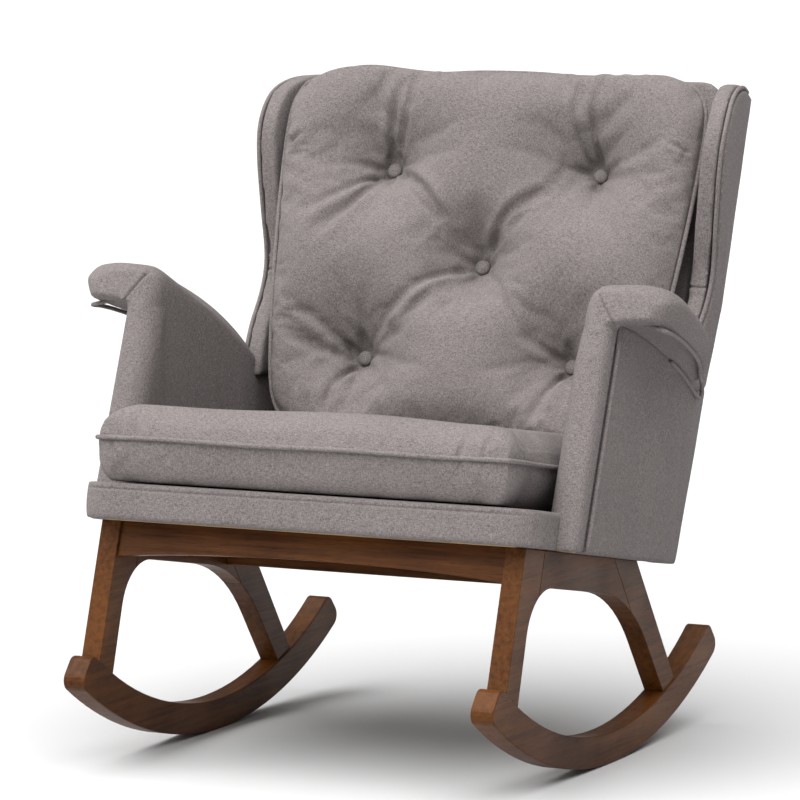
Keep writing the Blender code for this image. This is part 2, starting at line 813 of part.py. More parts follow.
def arm_foot(back, n=0.0):
    """Where the plane this far behind the arm's front meets the plane n above the base."""
    y = arm_front_y(SEAT_FRONT_Z, back)
    for _ in range(30):
        y = arm_front_y(seat_top_z(y, n), back)
    return y, seat_top_z(y, n)


def arm_core_outline(back):
    """Side view of the arm behind its front band; back is how far the front is set back."""
    foot = arm_foot(back)
    rear_m = OUTSIDE_BACK_THICK + SOFT_GAP
    heel_y = 0.2
    for _ in range(30):
        heel_y = back_y(seat_top_z(heel_y), rear_m)
    heel = (heel_y, seat_top_z(heel_y))
    high = ARM_CORE_HIGH
    stations = [(y, z) for y, z, _, _, _ in ARM_PAD_STATIONS]
    top = [p for p in stations if p[0] > arm_front_y(p[1], back) + 0.004] + [ARM_CORE_END]
    before = stations[len(stations) - len(top)]
    high_front = (arm_front_y(1.0, back), 1.0)
    lead = crossing(before, top[0], foot, high_front)
    points = [foot, heel, (back_y(high, rear_m), high)] + top[::-1] + [lead]
    radii = [0, ARM_REAR_CORNER] + [0] * (len(points) - 2)
    return rounded(points, radii, steps=5)


def sliced(outline, past):
    """The outline with a point wherever past(y, z) changes sign, so that a solid can bend there."""
    out = []
    for p, q in zip(outline, outline[1:] + outline[:1]):
        out.append(p)
        a = past(*p)
        b = past(*q)
        if min(a, b) < 0 < max(a, b):
            k = a / (a - b)
            out.append((p[0] + k * (q[0] - p[0]), p[1] + k * (q[1] - p[1])))
    return out


def split_prism(outline, low, high, place, past):
    """A prism whose two sides are cut along past(y, z) = 0, so that a bend there stays crisp and closed."""
    shape = bmesh.new()
    points = sliced(list(outline), past)
    under = [shape.verts.new(place(a, b, low)) for a, b in points]
    over = [shape.verts.new(place(a, b, high)) for a, b in points]
    count = len(points)
    on_cut = [i for i, p in enumerate(points) if abs(past(*p)) < 1e-9]
    a, b = on_cut[0], on_cut[-1]
    loops = (list(range(a, b + 1)), list(range(b, count)) + list(range(0, a + 1)))
    for loop in loops:
        shape.faces.new([under[i] for i in loop])
        shape.faces.new([over[i] for i in reversed(loop)])
    for i in range(count):
        j = (i + 1) % count
        shape.faces.new((under[i], over[i], over[j], under[j]))
    return shape


def arm_pad_lean(y):
    """How far a slice of the top pad slides back per metre of height; upright towards the rear."""
    return math.tan(ARM_FRONT_LEAN) * max(0.0, 1 - (y - ARM_PAD_STATIONS[0][0]) / 0.12)


def arm_pad_section(y, foot, crest, outer, welt, sign):
    """One slice of the flared top pad, from the inner foot round to the outer foot."""
    inner = ARM_INNER_X
    foot += SOFT_GAP
    thick = crest - foot
    lip = max(welt + WELT_RADIUS + 0.0012, foot + 0.006)
    edge = outer - 2 * WELT_RADIUS - 0.001
    panel = min(ARM_OUTER_X, edge - 0.002)
    reach = outer - inner
    points = (
        (inner, foot),
        (inner + 0.001, foot + thick * 0.55),
        (inner + 0.008, crest - thick * 0.14),
        (inner + reach * 0.25, crest - 0.0015),
        (inner + reach * 0.50, crest),
        (inner + reach * 0.75, crest - 0.0015),
        (outer - 0.009, crest - 0.007),
        (outer - 0.002, crest - 0.017),
        (outer, (crest + lip) / 2 - 0.004),
        (edge, lip),
        (panel, foot + 0.004),
        (panel - 0.004, foot),
    )
    lean = arm_pad_lean(y)
    out = []
    for x, z in points:
        slid = y + lean * (z - foot)
        out.append(Vector((sign * (x - arm_taper(slid, z, ARM_INNER_TAPER)), slid, z)))
    return out


def arm_welt_path(sign):
    """The cord: up the front's outer edge, out round the flared pad, then hooked in to the panel."""
    path = []
    groove = ARM_BAND_THICK + WELT_GROOVE / 2
    x = ARM_OUTER_X - SOFT_GAP
    low_z = arm_foot(groove)[1] + WELT_RADIUS
    high_z = ARM_PAD_STATIONS[2][1] - 0.012
    for k in range(7):
        z = low_z + (high_z - low_z) * k / 6
        path.append((x, arm_front_y(z, groove), z))
    for y, foot, _, outer, welt in ARM_PAD_STATIONS[2:]:
        path.append((outer - WELT_RADIUS, y + arm_pad_lean(y) * (welt - foot), welt))
    last = path[-1]
    path.append((last[0] + 0.004, last[1] + 0.004, last[2] - 0.014))
    return [(sign * (px - arm_taper(py, pz, ARM_INNER_TAPER)), py, pz) for px, py, pz in path]


def build_arms(shop):
    board_x = ARM_INNER_X + ARM_PAD_THICK + SOFT_GAP
    panel_x = board_x + ARM_BOARD_THICK + SOFT_GAP
    for side, sign in SIDES:
        place = arm_place(sign)
        core = arm_core_outline(ARM_BAND_THICK + SOFT_GAP)
        shape = split_prism(core, ARM_INNER_X, ARM_INNER_X + ARM_PAD_THICK, place, past_arm_bend)
        shop.add(f"arm_inner_pad_{side}", shape, "grey_weave")
        shape = split_prism(core, board_x, board_x + ARM_BOARD_THICK, place, past_arm_bend)
        shop.add(f"arm_board_{side}", shape, "hidden_timber")
        outer = arm_core_outline(ARM_BAND_THICK + WELT_GROOVE)
        shape = split_prism(outer, panel_x, ARM_OUTER_X, place, past_arm_bend)
        shop.add(f"arm_outer_panel_{side}", shape, "grey_weave")

        high_z = ARM_PAD_STATIONS[3][1]
        outline = (
            arm_foot(0.0, GAP),
            arm_foot(ARM_BAND_THICK, GAP),
            (arm_front_y(high_z, ARM_BAND_THICK), high_z),
            (arm_front_y(ARM_BAND_HIGH), ARM_BAND_HIGH),
        )
        shape = prism(outline, sign * ARM_INNER_X, sign * ARM_OUTER_X, side_place)
        shop.ease(shop.add(f"arm_front_band_{side}", shape, "grey_weave"), 0.006)

        sections = [arm_pad_section(*station, sign) for station in ARM_PAD_STATIONS]
        shop.add(f"arm_top_pad_{side}", rings(sections), "grey_weave")
        shop.add(f"arm_welt_{side}", cord(arm_welt_path(sign), WELT_RADIUS), "grey_weave")


# ---- the back and wings


def build_back(shop):
    low, high = OUTSIDE_BACK_T
    outline = (
        (-OUTSIDE_BACK_LOW_HALF, low),
        (OUTSIDE_BACK_LOW_HALF, low),
        (OUTSIDE_BACK_HIGH_HALF, high),
        (-OUTSIDE_BACK_HIGH_HALF, high),
    )
    outline = rounded(outline, (0.02, 0.02, 0.04, 0.04), steps=6)
    shape = prism(outline, 0.0, OUTSIDE_BACK_THICK, back_place)
    shop.ease(shop.add("outside_back_panel", shape, "grey_weave"), 0.002)
    layers = (
        ("back_board", BACK_BOARD_HALF, BACK_BOARD_T, BACK_BOARD_THICK, "hidden_timber"),
        ("inside_back_pad", INSIDE_BACK_HALF, INSIDE_BACK_T, INSIDE_BACK_THICK, "grey_weave"),
    )
    m = OUTSIDE_BACK_THICK + SOFT_GAP
    for name, half, (low, high), thick, finish in layers:
        outline = box_outline(-half, half, low, high)
        shape = prism(rounded(outline, (0, 0, 0.03, 0.03), steps=6), m, m + thick, back_place)
        shop.add(name, shape, finish)
        m += thick + SOFT_GAP


def past_wing_bend(y, z):
    return y - WING_TAPER_Y


def wing_place(sign):
    def place(y, z, x):
        taper = WING_TAPER * max(0.0, past_wing_bend(y, z))
        return Vector((sign * (x + WING_FLARE * (z - WING_FLARE_Z) - taper), y, z))

    return place


def wing_outline(inset):
    """Side view of the wing; inset draws its front and top edges in."""
    points = []
    for i, (y, z) in enumerate(WING_FRONT):
        before = Vector(WING_FRONT[max(i - 1, 0)])
        after = Vector(WING_FRONT[min(i + 1, len(WING_FRONT) - 1)])
        ahead = (after - before).normalized()
        points.append((y + ahead.y * inset, z - ahead.x * inset))
    rear_m = OUTSIDE_BACK_THICK + SOFT_GAP
    low = WING_FRONT[0][1]
    points[0] = (points[0][0], low)
    top = points[-1]
    points = [p for p in points if p[0] < back_y(p[1], rear_m) - 0.002]
    points.append((back_y(top[1] - 0.004, rear_m), top[1] - 0.004))
    points.append((back_y(low, rear_m), low))
    return points


def build_wings(shop):
    inner = WING_OUTER_X - WING_THICK
    split = WING_OUTER_X - WING_PANEL_THICK
    for side, sign in SIDES:
        place = wing_place(sign)
        outline = wing_outline(0.0)
        shape = split_prism(outline, inner, split - SOFT_GAP, place, past_wing_bend)
        shop.ease(shop.add(f"wing_pad_{side}", shape, "grey_weave"), 0.004)
        panel = wing_outline(WING_PANEL_INSET)
        shape = split_prism(panel, split, WING_OUTER_X, place, past_wing_bend)
        shop.add(f"wing_outer_panel_{side}", shape, "grey_weave")
        along = wing_outline(WING_PANEL_INSET / 2)[:-2]
        x = split + WELT_RADIUS + SOFT_GAP
        path = [place(y, z, x) for y, z in along]
        path[0] = path[0] + Vector((0, 0, WELT_RADIUS))
        shop.add(f"wing_welt_{side}", cord(spline(path, steps=3), WELT_RADIUS), "grey_weave")


# ---- the loose cushions


def tuft_weight(x, t):
    weight = 0.0
    for _, bx, bt in BUTTONS:
        away = math.hypot(x - bx, t - bt) / TUFT_WIDTH
        weight = max(weight, 1 / (1 + away**3))
    return weight


def pillow(columns, rows, outline, front, rear):
    """A closed pillow over a square grid: outline(a, b) gives its plane point, front and rear its faces."""
    shape = bmesh.new()
    grids = []
    for face in (front, rear):
        grid = {}
        for i in range(columns + 1):
            for j in range(rows + 1):
                edge = i in (0, columns) or j in (0, rows)
                if edge and grids:
                    grid[i, j] = grids[0][i, j]
                    continue
                a = math.sin(math.pi / 2 * (2 * i / columns - 1))
                b = math.sin(math.pi / 2 * (2 * j / rows - 1))
                grid[i, j] = shape.verts.new(face(a, b, *outline(a, b)))
        grids.append(grid)
    for grid, turn in zip(grids, (False, True)):
        for i in range(columns):
            for j in range(rows):
                loop = [grid[i, j], grid[i + 1, j], grid[i + 1, j + 1], grid[i, j + 1]]
                shape.faces.new(loop[::-1] if turn else loop)
    return shape


def squared(a, b, round_by):
    """Pulls a square's corners in, to round the cushion's plan."""
    return (
        a * math.sqrt(1 - round_by * b * b / 2),
        b * math.sqrt(1 - round_by * a * a / 2),
    )


def edge_ring(columns, rows, outline):
    """The plane points of a pillow's outline, in order round it."""
    steps = [(i, 0) for i in range(columns)]
    steps += [(columns, j) for j in range(rows)]
    steps += [(i, rows) for i in range(columns, 0, -1)]
    steps += [(0, j) for j in range(rows, 0, -1)]
    out = []
    for i, j in steps:
        a = math.sin(math.pi / 2 * (2 * i / columns - 1))
        b = math.sin(math.pi / 2 * (2 * j / rows - 1))
        out.append(outline(a, b))
    return out


def grown(points, by):
    """A closed plane outline pushed out by this much."""
    out = []
    for i, point in enumerate(points):
        ahead = (Vector(points[(i + 1) % len(points)]) - Vector(points[i - 1])).normalized()
        out.append((point[0] + ahead.y * by, point[1] - ahead.x * by))
    return out


def build_seat_cushion(shop):
    front, rear = SEAT_CUSHION_S
    middle = (front + rear) / 2
    half = (rear - front) / 2 - 2 * WELT_RADIUS - SOFT_GAP
    wide = SEAT_CUSHION_HALF - 2 * WELT_RADIUS - SOFT_GAP
    welt_n = SEAT_CUSHION_REST + SEAT_CUSHION_UNDER
    hanger = shop.hanger("seat_cushion_slide", seat_place(0, middle, welt_n))
    local = hanger.location.copy()

    def outline(a, b):
        a, b = squared(a, b, SEAT_CUSHION_ROUND)
        return wide * a, middle + half * b

    def bulge(a, b, power):
        return math.sqrt(max(0.0, (1 - abs(a) ** power) * (1 - abs(b) ** power)))

    def over(a, b, x, s):
        lift = EDGE_HALF + SEAT_CUSHION_CROWN * bulge(a, b, 12) * (1 - 0.10 * b * b - 0.06 * a * a)
        return seat_place(x, s, welt_n + lift) - local

    def under(a, b, x, s):
        drop = EDGE_HALF + (SEAT_CUSHION_UNDER - EDGE_HALF) * bulge(a, b, 14)
        return seat_place(x, s, welt_n - drop) - local

    shape = pillow(22, 18, outline, over, under)
    shop.add("seat_cushion", shape, "grey_weave", hanger)
    ring = grown(edge_ring(22, 18, outline), WELT_RADIUS + SOFT_GAP)
    path = [seat_place(x, s, welt_n) - local for x, s in ring]
    shop.add("seat_cushion_welt", cord(path, WELT_RADIUS, closed=True), "grey_weave", hanger)


def build_back_cushion(shop):
    middle = BACK_CUSHION_LENGTH / 2
    half = middle - 2 * WELT_RADIUS - SOFT_GAP
    at = (0.0, *cushion_point(middle, 0.0))
    hanger = shop.hanger("back_cushion_slide", at)
    local = hanger.location.copy()

    def outline(a, b):
        a, b = squared(a, b, BACK_CUSHION_ROUND)
        share = (b + 1) / 2
        wide = BACK_CUSHION_LOW_HALF + (BACK_CUSHION_HIGH_HALF - BACK_CUSHION_LOW_HALF) * min(
            1.0, share * 1.4
        )
        return (wide - 2 * WELT_RADIUS - SOFT_GAP) * a, middle + half * b

    def bulge(a, b, power=4):
        return math.sqrt(max(0.0, (1 - abs(a) ** power) * (1 - abs(b) ** power)))

    def place(x, t, m):
        y, z = cushion_point(t, m)
        return Vector((x, y, z)) - local

    def front(a, b, x, t):
        puff = BACK_CUSHION_FRONT * bulge(a, b)
        sink = (puff + BUTTON_SINK + TUFT_FLOOR) * tuft_weight(x, t) * bulge(a, b, 8)
        return place(x, t, EDGE_HALF + puff - sink)

    def rear(a, b, x, t):
        return place(x, t, -EDGE_HALF - BACK_CUSHION_REAR * bulge(a, b, 5))

    shape = pillow(30, 28, outline, front, rear)
    shop.add("back_cushion", shape, "grey_weave", hanger)
    ring = grown(edge_ring(30, 28, outline), WELT_RADIUS + SOFT_GAP)
    path = [place(x, t, 0.0) for x, t in ring]
    shop.add("back_cushion_welt", cord(path, WELT_RADIUS, closed=True), "grey_weave", hanger)
    for name, x, t in BUTTONS:
        profile = (
            (0, 0),
            (BUTTON_RADIUS * 0.9, 0),
            (BUTTON_RADIUS, BUTTON_HEIGHT * 0.35),
            (BUTTON_RADIUS * 0.72, BUTTON_HEIGHT * 0.85),
            (0, BUTTON_HEIGHT),
        )
        along = (0.0, -math.cos(BACK_CUSHION_RAKE), math.sin(BACK_CUSHION_RAKE))
        shape = aimed(lathe(profile, turns=16), place(x, t, BUTTON_STAND - BUTTON_SINK), along)
        shop.add(name, shape, "grey_weave", hanger)


def main():
    clear_scene()
    shop = Workshop()
    build_base(shop)
    build_seat_base(shop)
    build_arms(shop)
    build_back(shop)
    build_wings(shop)
    build_seat_cushion(shop)
    build_back_cushion(shop)


main()
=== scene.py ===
"""Winged rocking chair: padding, heathered cover cloth and walnut stain dressed over its fixed frame.

Everything is in metres in the frame's own coordinates: +Z up, the chair faces -Y, and left and right are as
seen from in front of it.
"""

from __future__ import annotations

import json
import logging
import math
from dataclasses import dataclass, field
from enum import Enum
from typing import Callable, Sequence

import bmesh
import bpy
import numpy as np
from mathutils import Matrix, Vector

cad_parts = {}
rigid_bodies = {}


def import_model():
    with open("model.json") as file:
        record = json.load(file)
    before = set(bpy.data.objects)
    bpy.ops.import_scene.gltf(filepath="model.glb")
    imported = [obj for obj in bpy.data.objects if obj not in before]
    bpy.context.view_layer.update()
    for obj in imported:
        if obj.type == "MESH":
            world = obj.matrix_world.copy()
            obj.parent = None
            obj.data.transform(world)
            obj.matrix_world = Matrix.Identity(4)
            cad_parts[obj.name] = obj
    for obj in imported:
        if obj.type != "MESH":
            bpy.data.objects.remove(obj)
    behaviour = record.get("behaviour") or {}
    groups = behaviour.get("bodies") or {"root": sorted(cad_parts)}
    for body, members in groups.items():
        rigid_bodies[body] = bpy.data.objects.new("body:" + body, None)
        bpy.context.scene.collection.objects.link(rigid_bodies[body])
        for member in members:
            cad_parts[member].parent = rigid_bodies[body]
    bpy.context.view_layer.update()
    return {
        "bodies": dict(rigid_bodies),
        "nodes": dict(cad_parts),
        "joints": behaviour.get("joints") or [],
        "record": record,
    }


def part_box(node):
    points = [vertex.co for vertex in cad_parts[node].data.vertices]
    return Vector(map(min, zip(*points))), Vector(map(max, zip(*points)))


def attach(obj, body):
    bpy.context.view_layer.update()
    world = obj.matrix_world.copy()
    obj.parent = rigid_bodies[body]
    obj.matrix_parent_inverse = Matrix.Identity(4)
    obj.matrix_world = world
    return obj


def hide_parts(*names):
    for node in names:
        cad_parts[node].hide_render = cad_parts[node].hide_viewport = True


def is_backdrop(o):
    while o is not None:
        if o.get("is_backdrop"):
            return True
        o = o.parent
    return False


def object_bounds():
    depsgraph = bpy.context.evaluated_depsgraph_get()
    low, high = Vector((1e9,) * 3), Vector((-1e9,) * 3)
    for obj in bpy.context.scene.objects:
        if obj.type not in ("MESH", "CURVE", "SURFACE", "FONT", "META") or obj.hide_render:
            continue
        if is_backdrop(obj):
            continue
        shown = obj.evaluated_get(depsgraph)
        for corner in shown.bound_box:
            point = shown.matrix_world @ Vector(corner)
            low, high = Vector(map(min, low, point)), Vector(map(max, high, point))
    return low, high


log = logging.getLogger("rocking_chair")

Piece = bpy.types.Object
Material = bpy.types.Material
Node = bpy.types.Node
Socket = bpy.types.NodeSocket
Array = np.ndarray
Spots = tuple[np.ndarray, np.ndarray, np.ndarray]
Tree = bpy.types.NodeTree
Pair = tuple[float, float]
Triple = tuple[float, float, float]
Place = Callable[[float, float, float], Vector]
Outline = Sequence[Pair]
Points = list[Vector]
Sheet = Callable[[Array, Array], Array]

# Spacing of the rings along a cord, and the clearance between neighbouring covers.
CORD_STEP = 0.004
GAP = 0.0005


class Side(Enum):
    """The two hands of the chair, as seen from in front of it."""

    LEFT = "left"
    RIGHT = "right"

    @property
    def sign(self) -> float:
        """Which way this side lies along X."""
        return -1.0 if self is Side.LEFT else 1.0


class Body(Enum):
    """The frame's moving bodies."""

    CHAIR = "chair"
    SEAT_CUSHION = "seat_cushion"
    BACK_CUSHION = "back_cushion"


class GrainRun(Enum):
    """Which way the grain runs in a piece of timber, as turns about X, Y and Z in degrees."""

    ALONG_X = (0.0, 0.0, 0.0)
    ALONG_Y = (0.0, 0.0, 90.0)
    UP_FRONT_LEG = (71.7, 0.0, 90.0)
    UP_REAR_LEG = (126.3, 0.0, 90.0)


# --- datums


@dataclass(frozen=True)
class Datums:
    """The chair's setting-out planes, which the padding shares with the timber frame.

    Attributes:
        shift_y: Where the rockers' line of contact lies in the frame.
        seat_tilt: Fall of the seat towards the back.
        seat_front: (y, z) of the seat plane's front foot.
        back_rake: Lean of the back's rear plane.
        back_rear: (y, z) of a point on that plane.
        cushion_rake: Lean of the loose back cushion.
        cushion_foot: (y, z) of the back cushion's lower edge.
        arm_lean: Lean of the arms' front faces.
        arm_front: Distance of the arms' front foot behind the seat's front.
    """

    shift_y: float = -0.0363
    seat_tilt: float = math.radians(10.0)
    seat_front: Pair = (-0.320, 0.331)
    back_rake: float = math.radians(24.5)
    back_rear: Pair = (0.290, 0.500)
    cushion_rake: float = math.radians(22.6)
    cushion_foot: Pair = (0.12541, 0.404)
    arm_lean: float = math.radians(21.5)
    arm_front: float = 0.0865

    def at(self, x: float, y: float, z: float) -> Vector:
        """A point given from the rockers' line of contact."""
        return Vector((x, y + self.shift_y, z))

    def seat_yz(self, s: float, n: float) -> Pair:
        """(y, z) of a point s behind the seat's front foot and n above the seat plane."""
        cos, sin = math.cos(self.seat_tilt), math.sin(self.seat_tilt)
        return self.seat_front[0] + s * cos + n * sin, self.seat_front[1] - s * sin + n * cos

    def seat(self, x: float, s: float, n: float) -> Vector:
        """A point over the seat plane."""
        return self.at(x, *self.seat_yz(s, n))

    def seat_top(self, y: float, n: float = 0.0) -> float:
        """Height of the plane n above the seat plane, at this y."""
        drop = (y - self.seat_front[0]) * math.tan(self.seat_tilt)
        return self.seat_front[1] - drop + n / math.cos(self.seat_tilt)

    def back(self, x: float, t: float, m: float) -> Vector:
        """A point t up the back and m in front of its rear plane.

        Args:
            x: Place across the chair.
            t: How far up the back.
            m: How far in front of its rear plane.

        Returns:
            The point.
        """
        cos, sin = math.cos(self.back_rake), math.sin(self.back_rake)
        y = self.back_rear[0] + t * sin - m * cos
        return self.at(x, y, self.back_rear[1] + t * cos + m * sin)

    def back_y(self, z: float, m: float = 0.0) -> float:
        """Where the plane m in front of the back's rear plane is, at this height."""
        rise = (z - self.back_rear[1]) * math.tan(self.back_rake)
        return self.back_rear[0] + rise - m / math.cos(self.back_rake)

    def cushion(self, x: float, t: float, m: float) -> Vector:
        """A point t up the back cushion and m in front of its middle plane.

        Args:
            x: Place across the chair.
            t: How far up the cushion.
            m: How far in front of its middle plane.

        Returns:
            The point.
        """
        cos, sin = math.cos(self.cushion_rake), math.sin(self.cushion_rake)
        y = self.cushion_foot[0] + t * sin - m * cos
        return self.at(x, y, self.cushion_foot[1] + t * cos + m * sin)

    def arm_front_y(self, z: float, back: float = 0.0) -> float:
        """The arm's leaning front plane at this height, or a plane behind it."""
        foot_y, foot_z = self.seat_yz(self.arm_front, 0.0)
        return foot_y + (z - foot_z) * math.tan(self.arm_lean) + back / math.cos(self.arm_lean)


DATUMS = Datums()


@dataclass(frozen=True)
class Slope:
    """A raked plane's own axes, for whole arrays of points.

    Attributes:
        origin: The point that distances are measured from.
        along: One metre along the slope.
        off: One metre square off it.
    """

    origin: Array
    along: Array
    off: Array

    @classmethod
    def of(cls, place: Place) -> Slope:
        """Reads the axes off the function that places a point."""
        origin = np.array(place(0, 0, 0))
        return cls(origin, np.array(place(0, 1, 0)) - origin, np.array(place(0, 0, 1)) - origin)

    def points(self, x: Array, along: Array, off: Array) -> Array:
        """Places points by their distances across, along the slope and off it."""
        across = x[..., None] * np.array((1.0, 0, 0))
        return self.origin + across + along[..., None] * self.along + off[..., None] * self.off

    def read(self, points: Array) -> Spots:
        """Distances of points across, along the slope and off it."""
        away = points - self.origin
        return points[:, 0], away @ self.along, away @ self.off


# --- node bench


class NodeBench:
    """Lays out shader nodes in one tree."""

    def __init__(self, tree: Tree) -> None:
        """Takes the tree that nodes are added to."""
        self.tree = tree
        self.column = 0

    def add(self, kind: str, inputs: dict[str | int, object] | None = None, **settings: object) -> Node:
        """Adds a node.

        Args:
            kind: The node's type, without its ShaderNode prefix.
            inputs: Values or sockets for its inputs, by name or number.
            settings: The node's own settings.

        Returns:
            The node.
        """
        node = self.tree.nodes.new("ShaderNode" + kind)
        self.column += 1
        node.location = (self.column * 60.0, -(self.column % 9) * 180.0)
        for name, value in settings.items():
            setattr(node, name, value)
        for key, value in (inputs or {}).items():
            self.feed(node.inputs[key], value)
        return node

    def feed(self, socket: Socket, value: object) -> None:
        """Links a socket to another, or gives it a value.

        Args:
            socket: The input to fill.
            value: A socket to link, or a plain value.
        """
        if isinstance(value, Socket):
            self.tree.links.new(value, socket)
        else:
            socket.default_value = value

    def maths(self, operation: str, *values: object, clamp: bool = False) -> Socket:
        """One arithmetic step on numbers or sockets."""
        node = self.add("Math", dict(enumerate(values)), operation=operation, use_clamp=clamp)
        return node.outputs[0]

    def blend(self, share: object, first: object, second: object) -> Socket:
        """Mixes two colours by a share.

        Args:
            share: How much of the second colour.
            first: The first colour.
            second: The second colour.

        Returns:
            The mixed colour's socket.
        """
        node = self.add("Mix", data_type="RGBA", blend_type="MIX")
        for key, value in ((0, share), (6, first), (7, second)):
            self.feed(node.inputs[key], value)
        return node.outputs[2]

    def noise(self, vector: object, scale: float, detail: float, rough: float) -> Socket:
        """A noise value over a vector."""
        values = {"Vector": vector, "Scale": scale, "Detail": detail, "Roughness": rough}
        return self.add("TexNoise", values).outputs[0]

    def mixed(self, *parts: tuple[object, float]) -> Socket:
        """Two values added, each with its own weight."""
        return self.maths("ADD", *(self.maths("MULTIPLY", value, weight) for value, weight in parts))

    def swayed(self, value: object, noise: object, reach: float, clamp: bool = False) -> Socket:
        """A value pushed up and down by a noise about its middle."""
        push = self.maths("MULTIPLY", self.maths("SUBTRACT", noise, 0.5), reach)
        return self.maths("ADD", value, push, clamp=clamp)

    def stretched(self, vector: object, factors: Triple) -> Socket:
        """The vector scaled by its own factor along each axis."""
        return self.add("Mapping", {"Vector": vector, "Scale": factors}).outputs[0]

    def span(
        self, value: object, low: float, high: float, to_low: float = 0.0, to_high: float = 1.0
    ) -> Socket:
        """A value moved from one range to another and held inside it."""
        values = dict(enumerate((value, low, high, to_low, to_high)))
        return self.add("MapRange", values, clamp=True).outputs[0]


def group_tree(
    name: str, inputs: Sequence[tuple[str, str, object]], outputs: Sequence[tuple[str, str]]
) -> tuple[NodeBench, Node, Node]:
    """Starts a shader node group.

    Args:
        name: The group's name.
        inputs: (name, kind, default) of each input.
        outputs: (name, kind) of each output.

    Returns:
        The bench to build on, and the group's input and output nodes.
    """
    tree = bpy.data.node_groups.new(name, "ShaderNodeTree")
    for label, kind, value in inputs:
        socket = tree.interface.new_socket(label, in_out="INPUT", socket_type="NodeSocket" + kind)
        if value is not None:
            socket.default_value = value
    for label, kind in outputs:
        tree.interface.new_socket(label, in_out="OUTPUT", socket_type="NodeSocket" + kind)
    return NodeBench(tree), tree.nodes.new("NodeGroupInput"), tree.nodes.new("NodeGroupOutput")


def weave_group() -> Tree:
    """The heathered plain weave: threads over and under, slubs along both ways, and slow unevenness.

    Returns:
        A group with a colour, a height and a nap mask.
    """
    bench, given, out = group_tree(
        "heathered_weave",
        (
            ("Place", "Vector", None),
            ("Cloth", "Vector", None),
            ("Pale", "Color", (0.3, 0.28, 0.27, 1)),
            ("Deep", "Color", (0.1, 0.09, 0.09, 1)),
            ("Pitch", "Float", 900.0),
        ),
        (("Color", "Color"), ("Height", "Float"), ("Nap", "Float")),
    )
    place, cloth, pitch = given.outputs[0], given.outputs[1], given.outputs[4]
    scaled = bench.add("VectorMath", {0: cloth, 3: pitch}, operation="SCALE").outputs[0]
    parts = bench.add("SeparateXYZ", {0: scaled})
    across, along = parts.outputs[0], parts.outputs[1]
    warp = bench.maths("ABSOLUTE", bench.maths("SINE", bench.maths("MULTIPLY", across, math.pi)))
    weft = bench.maths("ABSOLUTE", bench.maths("SINE", bench.maths("MULTIPLY", along, math.pi)))
    cell = bench.maths("ADD", bench.maths("FLOOR", across), bench.maths("FLOOR", along))
    over = bench.maths("PINGPONG", cell, 1.0)
    threads = bench.add("Mix", data_type="FLOAT")
    for key, value in ((0, over), (2, warp), (3, weft)):
        bench.feed(threads.inputs[key], value)
    thread = threads.outputs[0]

    slub_x = bench.noise(bench.stretched(place, (210.0, 1050.0, 1050.0)), 1.0, 2.0, 0.6)
    slub_y = bench.noise(bench.stretched(place, (1050.0, 240.0, 1050.0)), 1.0, 2.0, 0.6)
    slub_z = bench.noise(bench.stretched(place, (1050.0, 1050.0, 220.0)), 1.0, 2.0, 0.6)
    melange = bench.maths("ADD", bench.maths("ADD", slub_x, slub_y), slub_z)
    melange = bench.span(melange, 1.22, 1.80)
    grainy = bench.noise(place, 1500.0, 1.0, 0.5)
    melange = bench.mixed((melange, 0.72), (grainy, 0.28))
    uneven = bench.noise(place, 7.0, 2.0, 0.5)
    share = bench.swayed(melange, uneven, 0.16)
    shaded = bench.maths("MULTIPLY", share, bench.span(thread, 0.0, 0.55, 0.80, 1.0), clamp=True)
    colour = bench.blend(shaded, given.outputs[3], given.outputs[2])
    fuzz = bench.noise(place, 1500.0, 2.0, 0.7)
    height = bench.mixed((thread, 0.7), (melange, 0.5))
    height = bench.maths("ADD", height, bench.maths("MULTIPLY", fuzz, 0.25))
    bench.feed(out.inputs[0], colour)
    bench.feed(out.inputs[1], height)
    bench.feed(out.inputs[2], bench.span(fuzz, 0.3, 0.7))
    return bench.tree


def grain_group() -> Tree:
    """Stained hardwood: long figure, fine pores and cloudy stain, running along the vector's X.

    Returns:
        A group with a colour, a height and a gloss mask.
    """
    bench, given, out = group_tree(
        "stained_grain",
        (
            ("Place", "Vector", None),
            ("Light", "Color", (0.25, 0.12, 0.06, 1)),
            ("Dark", "Color", (0.08, 0.035, 0.02, 1)),
            ("Pore", "Color", (0.03, 0.015, 0.01, 1)),
        ),
        (("Color", "Color"), ("Height", "Float"), ("Gloss", "Float")),
    )
    place = given.outputs[0]
    sway = bench.noise(bench.stretched(place, (3.0, 6.0, 6.0)), 1.0, 2.0, 0.5)
    figure = bench.noise(bench.stretched(place, (6.0, 150.0, 150.0)), 1.0, 4.0, 0.6)
    figure = bench.swayed(figure, sway, 0.8)
    figure = bench.span(figure, 0.32, 0.70)
    fleck = bench.noise(bench.stretched(place, (30.0, 640.0, 640.0)), 1.0, 2.0, 0.6)
    pores = bench.noise(bench.stretched(place, (60.0, 1500.0, 1500.0)), 1.0, 1.0, 0.5)
    pores = bench.span(pores, 0.60, 0.72)
    cloud = bench.noise(place, 9.0, 3.0, 0.55)
    share = bench.mixed((figure, 0.55), (fleck, 0.40))
    share = bench.swayed(share, cloud, 0.75, clamp=True)
    colour = bench.blend(share, given.outputs[2], given.outputs[1])
    colour = bench.blend(bench.maths("MULTIPLY", pores, 0.55), colour, given.outputs[3])
    height = bench.maths("SUBTRACT", bench.maths("MULTIPLY", fleck, 0.35), pores)
    bench.feed(out.inputs[0], colour)
    bench.feed(out.inputs[1], height)
    gloss = bench.maths("ADD", cloud, bench.maths("MULTIPLY", fleck, 0.4))
    bench.feed(out.inputs[2], bench.span(gloss, 0.4, 1.0))
    return bench.tree


# --- finishes


